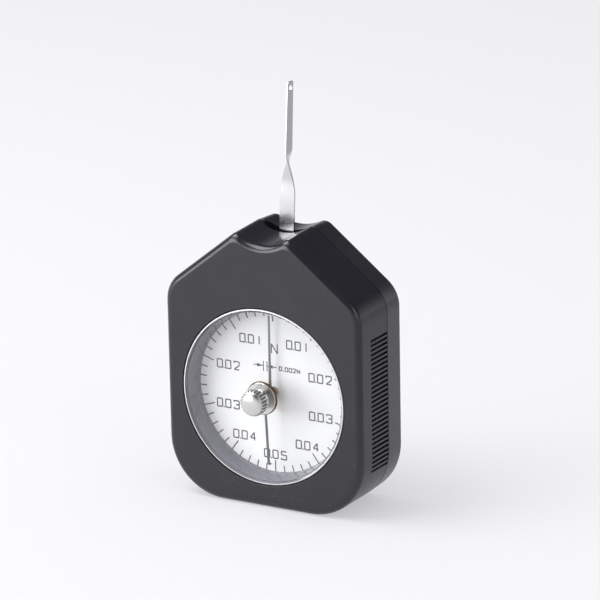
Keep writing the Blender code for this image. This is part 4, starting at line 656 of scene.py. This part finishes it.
bmesh.ops.transform(shape, matrix=sections[0], verts=shape.verts)
for before, after in zip(sections, sections[1:]):
    grown = bmesh.ops.extrude_face_region(shape, geom=end)["geom"]
    if before is not sections[0]:
        bmesh.ops.delete(shape, geom=end, context="FACES_ONLY")
    end = [item for item in grown if isinstance(item, bmesh.types.BMFace)]
    bmesh.ops.transform(shape, matrix=after @ before.inverted(), verts=list(end[0].verts))
feeler = solid_from("feeler_strip", shape)
drill = bmesh.new()
bmesh.ops.create_cone(drill, cap_ends=True, segments=48, radius1=HOLE_RADIUS, radius2=HOLE_RADIUS,
                      depth=PAST)
bmesh.ops.transform(drill, verts=drill.verts,
                    matrix=strip_middle(HOLE_HEIGHT) @ Matrix.Rotation(math.pi / 2, 4, "Y"))
clamp_holes = [pin(CLAMP_HOLE_RADIUS, STRIP_DEPTH - PAST, STRIP_DEPTH + PAST, z=height, steps=20)
               for height in CLAMP_HOLES]
joined(feeler, [("DIFFERENCE", [solid_from("tip_hole", drill)] + clamp_holes)])
steel = grained("bright_steel", dark=(0.60, 0.605, 0.62), light=(0.66, 0.665, 0.68),
                gloss=(0.17, 0.23), grain=3500.0, relief=0.0000003, metallic=1.0,
                stretch=(1, 1, 0.15))
smooth(feeler)
dressed(feeler, steel, "lever", "steel", "feeler")

# Case screws: four slotted cheese-head screws of bright steel, sunk into the back of the case. They
# run through the sleeves of the rear shell into the posts of the front shell.
SCREW_HEAD, SCREW_HEAD_HEIGHT, SCREW_SHANK, SCREW_LENGTH = 0.0018, 0.0013, 0.0010, 0.0105
SCREW_SEAT, SCREW_SLOT, SCREW_SLOT_DEPTH, SCREW_EDGE = 0.0203, 0.00025, 0.0006, 0.00015
SCREW_FIRST_TURN, SCREW_NEXT_TURN = 75, 50  # the first slot's turn, and how much more each next has
screw_back, screw_end = SCREW_SEAT + SCREW_HEAD_HEIGHT, SCREW_SEAT - SCREW_LENGTH
screw_profile = [
    (0, screw_end), (SCREW_SHANK - SCREW_EDGE, screw_end), (SCREW_SHANK, screw_end + SCREW_EDGE),
    (SCREW_SHANK, SCREW_SEAT), (SCREW_HEAD, SCREW_SEAT), (SCREW_HEAD, screw_back - SCREW_EDGE),
    (SCREW_HEAD - SCREW_EDGE, screw_back), (0, screw_back)]
for number, (x, z) in enumerate(screw_places, 1):
    screw = turned(f"sunk_screw_{number}", screw_profile, x, z, steps=40)
    slot = block("screw_slot", [((-SCREW_SLOT, at_depth(screw_back - SCREW_SLOT_DEPTH), -PAST),
                                 (SCREW_SLOT, at_depth(screw_back + PAST), PAST))])
    turn = math.radians(SCREW_FIRST_TURN + SCREW_NEXT_TURN * (number - 1))
    slot.data.transform(Matrix.Translation((x, 0, z)) @ Matrix.Rotation(turn, 4, "Y"))
    joined(screw, [("DIFFERENCE", [slot])])
    smooth(screw)
    dressed(screw, steel, "case", "steel", f"case_screw_{number}")

# Hands: a flat needle that narrows to its tip, on the pointer's hub, and in front of it a bent wire
# that hangs from the knob's stem. The real needle pushes the wire along. Both are darkened steel.
NEEDLE_FRONT, NEEDLE_BACK, NEEDLE_LENGTH, NEEDLE_TAIL = 0.0044, 0.0046, 0.0220, 0.0050
NEEDLE_ROOT, NEEDLE_TIP, NEEDLE_RING, NEEDLE_HOLE = 0.00095, 0.00042, 0.0020, 0.00145
WIRE_RADIUS = 0.00034
# The wire's reach from the dial's centre and its depth, down to the small hook at its end.
WIRE_ROUTE = ((0.00145, 0.00155), (0.0190, 0.00285), (0.0197, 0.0029), (0.0199, 0.0038))
dark_steel = grained("darkened_steel", dark=(0.10, 0.105, 0.115), light=(0.15, 0.155, 0.168),
                     gloss=(0.3, 0.45), grain=4000.0, relief=0.000002, metallic=0.4)
needle = block("needle", [((-NEEDLE_ROOT / 2, at_depth(NEEDLE_FRONT), DIAL_HEIGHT - NEEDLE_TAIL),
                           (NEEDLE_ROOT / 2, at_depth(NEEDLE_BACK), DIAL_HEIGHT + NEEDLE_LENGTH))])
for corner in needle.data.vertices:
    if corner.co.z > DIAL_HEIGHT:
        corner.co.x *= NEEDLE_TIP / NEEDLE_ROOT
ring = pin(NEEDLE_RING, NEEDLE_FRONT, NEEDLE_BACK, steps=48)
ring_hole = pin(NEEDLE_HOLE, NEEDLE_FRONT - PAST, NEEDLE_BACK + PAST, steps=48)
joined(needle, [("UNION", [ring]), ("DIFFERENCE", [ring_hole])])
smooth(needle)
dressed(needle, dark_steel, "pointer", "dark_steel", "pointer")
wire_route = [(0, at_depth(depth), DIAL_HEIGHT - reach) for reach, depth in WIRE_ROUTE]
trailing_wire = solid_from("trailing_wire", beads("trailing_wire", [wire_route], WIRE_RADIUS, 4, 8))
smooth(trailing_wire)
dressed(trailing_wire, dark_steel, "knob", "dark_steel", "drag_hand")

# Movement and small parts: brass plates, bushes, hubs and gears, steel arbors and screws, blued
# springs. They keep the shapes that they have in the frame.
brass = grained("turned_brass", dark=(0.33, 0.21, 0.11), light=(0.50, 0.34, 0.19),
                gloss=(0.22, 0.38), grain=3000.0, relief=0.000003, metallic=1.0, stretch=(1, 4, 1))
blued = grained("blued_steel", dark=(0.05, 0.06, 0.11), light=(0.09, 0.11, 0.20),
                gloss=(0.2, 0.32), grain=4000.0, relief=0.000001, metallic=1.0)
SPRINGS = ("lever_spring", "hairspring")
BRASSWORK = ("front_plate", "back_plate", "lever_front_bush", "lever_back_bush",
             "pointer_front_bush", "pointer_back_bush", "lever_hub", "sector_gear", "counterweight",
             "lever_spring_collet", "hairspring_collet", "pointer_hub", "drag_hand_hub")
for name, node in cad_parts.items():
    if name in SPRINGS:
        refinished(name, blued)
    elif name in BRASSWORK:
        refinished(name, brass)
    elif name != "dial_plate" and not node.hide_render:
        refinished(name, steel)

# Floor: a pale table. Its glow lifts it to the backdrop's tone for the eye and, less and less
# towards the right, for glossy surfaces, but it lights nothing.
FLOOR_RADIUS, FLOOR_COLOUR, FLOOR_GLOW_COLOUR = 30, (0.32, 0.32, 0.328, 1), (1.0, 1.0, 1.02, 1)
SEEN_GLOW, LEFT_GLOW, RIGHT_GLOW = 0.445, 0.46, 0.15
FADE_START, FADE_END = -0.02, 0.12  # where the glow for glossy surfaces fades, from left to right


def ray_share(tree, *kinds):
    """1 for the named kinds of ray, else 0."""
    path = tree.nodes.new("ShaderNodeLightPath")
    total = path.outputs[kinds[0]]
    for kind in kinds[1:]:
        more = tree.nodes.new("ShaderNodeMath")
        more.operation = "MAXIMUM"
        tree.links.new(total, more.inputs[0])
        tree.links.new(path.outputs[kind], more.inputs[1])
        total = more.outputs["Value"]
    return total


shape = bmesh.new()
bmesh.ops.create_circle(shape, cap_ends=True, segments=64, radius=FLOOR_RADIUS)
floor_mesh = bpy.data.meshes.new("table_top")
shape.to_mesh(floor_mesh)
shape.free()
table_top = bpy.data.objects.new("table_top", floor_mesh)
bpy.context.scene.collection.objects.link(table_top)
pale = bpy.data.materials.new("pale_table")
pale.use_nodes = True
tree = pale.node_tree
shader = tree.nodes["Principled BSDF"]
shader.inputs["Base Color"].default_value = FLOOR_COLOUR
shader.inputs["Roughness"].default_value = 1.0
shader.inputs["Specular IOR Level"].default_value = 0.0
shader.inputs["Emission Color"].default_value = FLOOR_GLOW_COLOUR
place = tree.nodes.new("ShaderNodeTexCoord")
across = tree.nodes.new("ShaderNodeSeparateXYZ")
tree.links.new(place.outputs["Object"], across.inputs["Vector"])
mirrored_glow = tree.nodes.new("ShaderNodeMapRange")
for name, value in (("From Min", FADE_START), ("From Max", FADE_END),
                    ("To Min", LEFT_GLOW), ("To Max", RIGHT_GLOW)):
    mirrored_glow.inputs[name].default_value = value
tree.links.new(across.outputs["X"], mirrored_glow.inputs["Value"])
lift = tree.nodes.new("ShaderNodeMix")
lift.inputs["B"].default_value = SEEN_GLOW
tree.links.new(ray_share(tree, "Is Camera Ray", "Is Transmission Ray"), lift.inputs["Factor"])
tree.links.new(mirrored_glow.outputs["Result"], lift.inputs["A"])
glow = tree.nodes.new("ShaderNodeMath")
glow.operation = "MULTIPLY"
glowing = ray_share(tree, "Is Camera Ray", "Is Glossy Ray", "Is Transmission Ray")
tree.links.new(glowing, glow.inputs[0])
tree.links.new(lift.outputs["Result"], glow.inputs[1])
tree.links.new(glow.outputs["Value"], shader.inputs["Emission Strength"])
table_top.data.materials.append(pale)

# Surroundings: a pale backdrop for the eye and through clear pieces, an even soft light, and for
# glossy surfaces a room that is bright near the table and dark higher up.
BACKDROP, SOFT_LIGHT = (0.947, 0.947, 0.965, 1), 0.90
ROOM = ((0.02, (0.9, 0.9, 0.92, 1)), (0.30, (0.28, 0.28, 0.29, 1)),  # height and colour
        (0.45, (0.05, 0.05, 0.0525, 1)), (0.65, (0.11, 0.11, 0.1155, 1)))
studio = bpy.data.worlds.new("studio")
bpy.context.scene.world = studio
studio.use_nodes = True
tree = studio.node_tree
tree.nodes.clear()
output = tree.nodes.new("ShaderNodeOutputWorld")
seen, mirrored, ambient = (tree.nodes.new("ShaderNodeBackground") for _ in range(3))
seen.inputs["Color"].default_value = BACKDROP
ambient.inputs["Color"].default_value = (1, 1, 1, 1)
ambient.inputs["Strength"].default_value = SOFT_LIGHT
direction = tree.nodes.new("ShaderNodeTexCoord")
upwards = tree.nodes.new("ShaderNodeSeparateXYZ")
tree.links.new(direction.outputs["Generated"], upwards.inputs["Vector"])
ramp = tree.nodes.new("ShaderNodeValToRGB")
stops = ramp.color_ramp.elements
while len(stops) < len(ROOM):
    stops.new(1.0)
for stop, (height, colour) in zip(stops, ROOM):
    stop.position, stop.color = height, colour
tree.links.new(upwards.outputs["Z"], ramp.inputs["Fac"])
tree.links.new(ramp.outputs["Color"], mirrored.inputs["Color"])
first, second = (tree.nodes.new("ShaderNodeMixShader") for _ in range(2))
tree.links.new(ray_share(tree, "Is Glossy Ray"), first.inputs["Fac"])
tree.links.new(ambient.outputs["Background"], first.inputs[1])
tree.links.new(mirrored.outputs["Background"], first.inputs[2])
tree.links.new(ray_share(tree, "Is Camera Ray", "Is Transmission Ray"), second.inputs["Fac"])
tree.links.new(first.outputs["Shader"], second.inputs[1])
tree.links.new(seen.outputs["Background"], second.inputs[2])
tree.links.new(second.outputs["Shader"], output.inputs["Surface"])

# Lamps: three square soft boxes that face the middle of the gauge, one low on the left, one on the
# right and one from above.
LAMPS_FACE = Vector((0, 0, 0.05))
LAMPS = (  # name, place, side and power
    ("key_lamp", (-0.85, -0.95, 0.20), 0.9, 11.9),
    ("fill_lamp", (0.95, -0.35, 0.55), 0.5, 1.3),
    ("top_lamp", (-0.47, -0.28, 0.88), 0.7, 7.9))
for name, place, side, power in LAMPS:
    data = bpy.data.lights.new(name, "AREA")
    data.shape, data.size, data.energy = "SQUARE", side, power
    lamp = bpy.data.objects.new(name, data)
    bpy.context.scene.collection.objects.link(lamp)
    lamp.location = place
    lamp.rotation_euler = (LAMPS_FACE - Vector(place)).to_track_quat("-Z", "Y").to_euler()

# Camera: it stands to the right and above, far away behind a long lens, so that the gauge shows the
# same sides and proportions as in the photo.
CAMERA_PLACE, CAMERA_TURN = (0.523934, -0.906695, 0.383897), (72.587, 1.0401, 29.4338)
CAMERA_LENS, CAMERA_FILM, CAMERA_NEAR, CAMERA_FAR = 244.896, 36, 0.01, 100
camera = bpy.data.objects.new("photo_camera", bpy.data.cameras.new("photo_camera"))
bpy.context.scene.collection.objects.link(camera)
camera.location = CAMERA_PLACE
camera.rotation_euler = Euler(tuple(math.radians(turn) for turn in CAMERA_TURN))
camera.data.lens, camera.data.sensor_width = CAMERA_LENS, CAMERA_FILM
camera.data.clip_start, camera.data.clip_end = CAMERA_NEAR, CAMERA_FAR
bpy.context.scene.camera = camera
bpy.context.scene.view_settings.view_transform = "Standard"
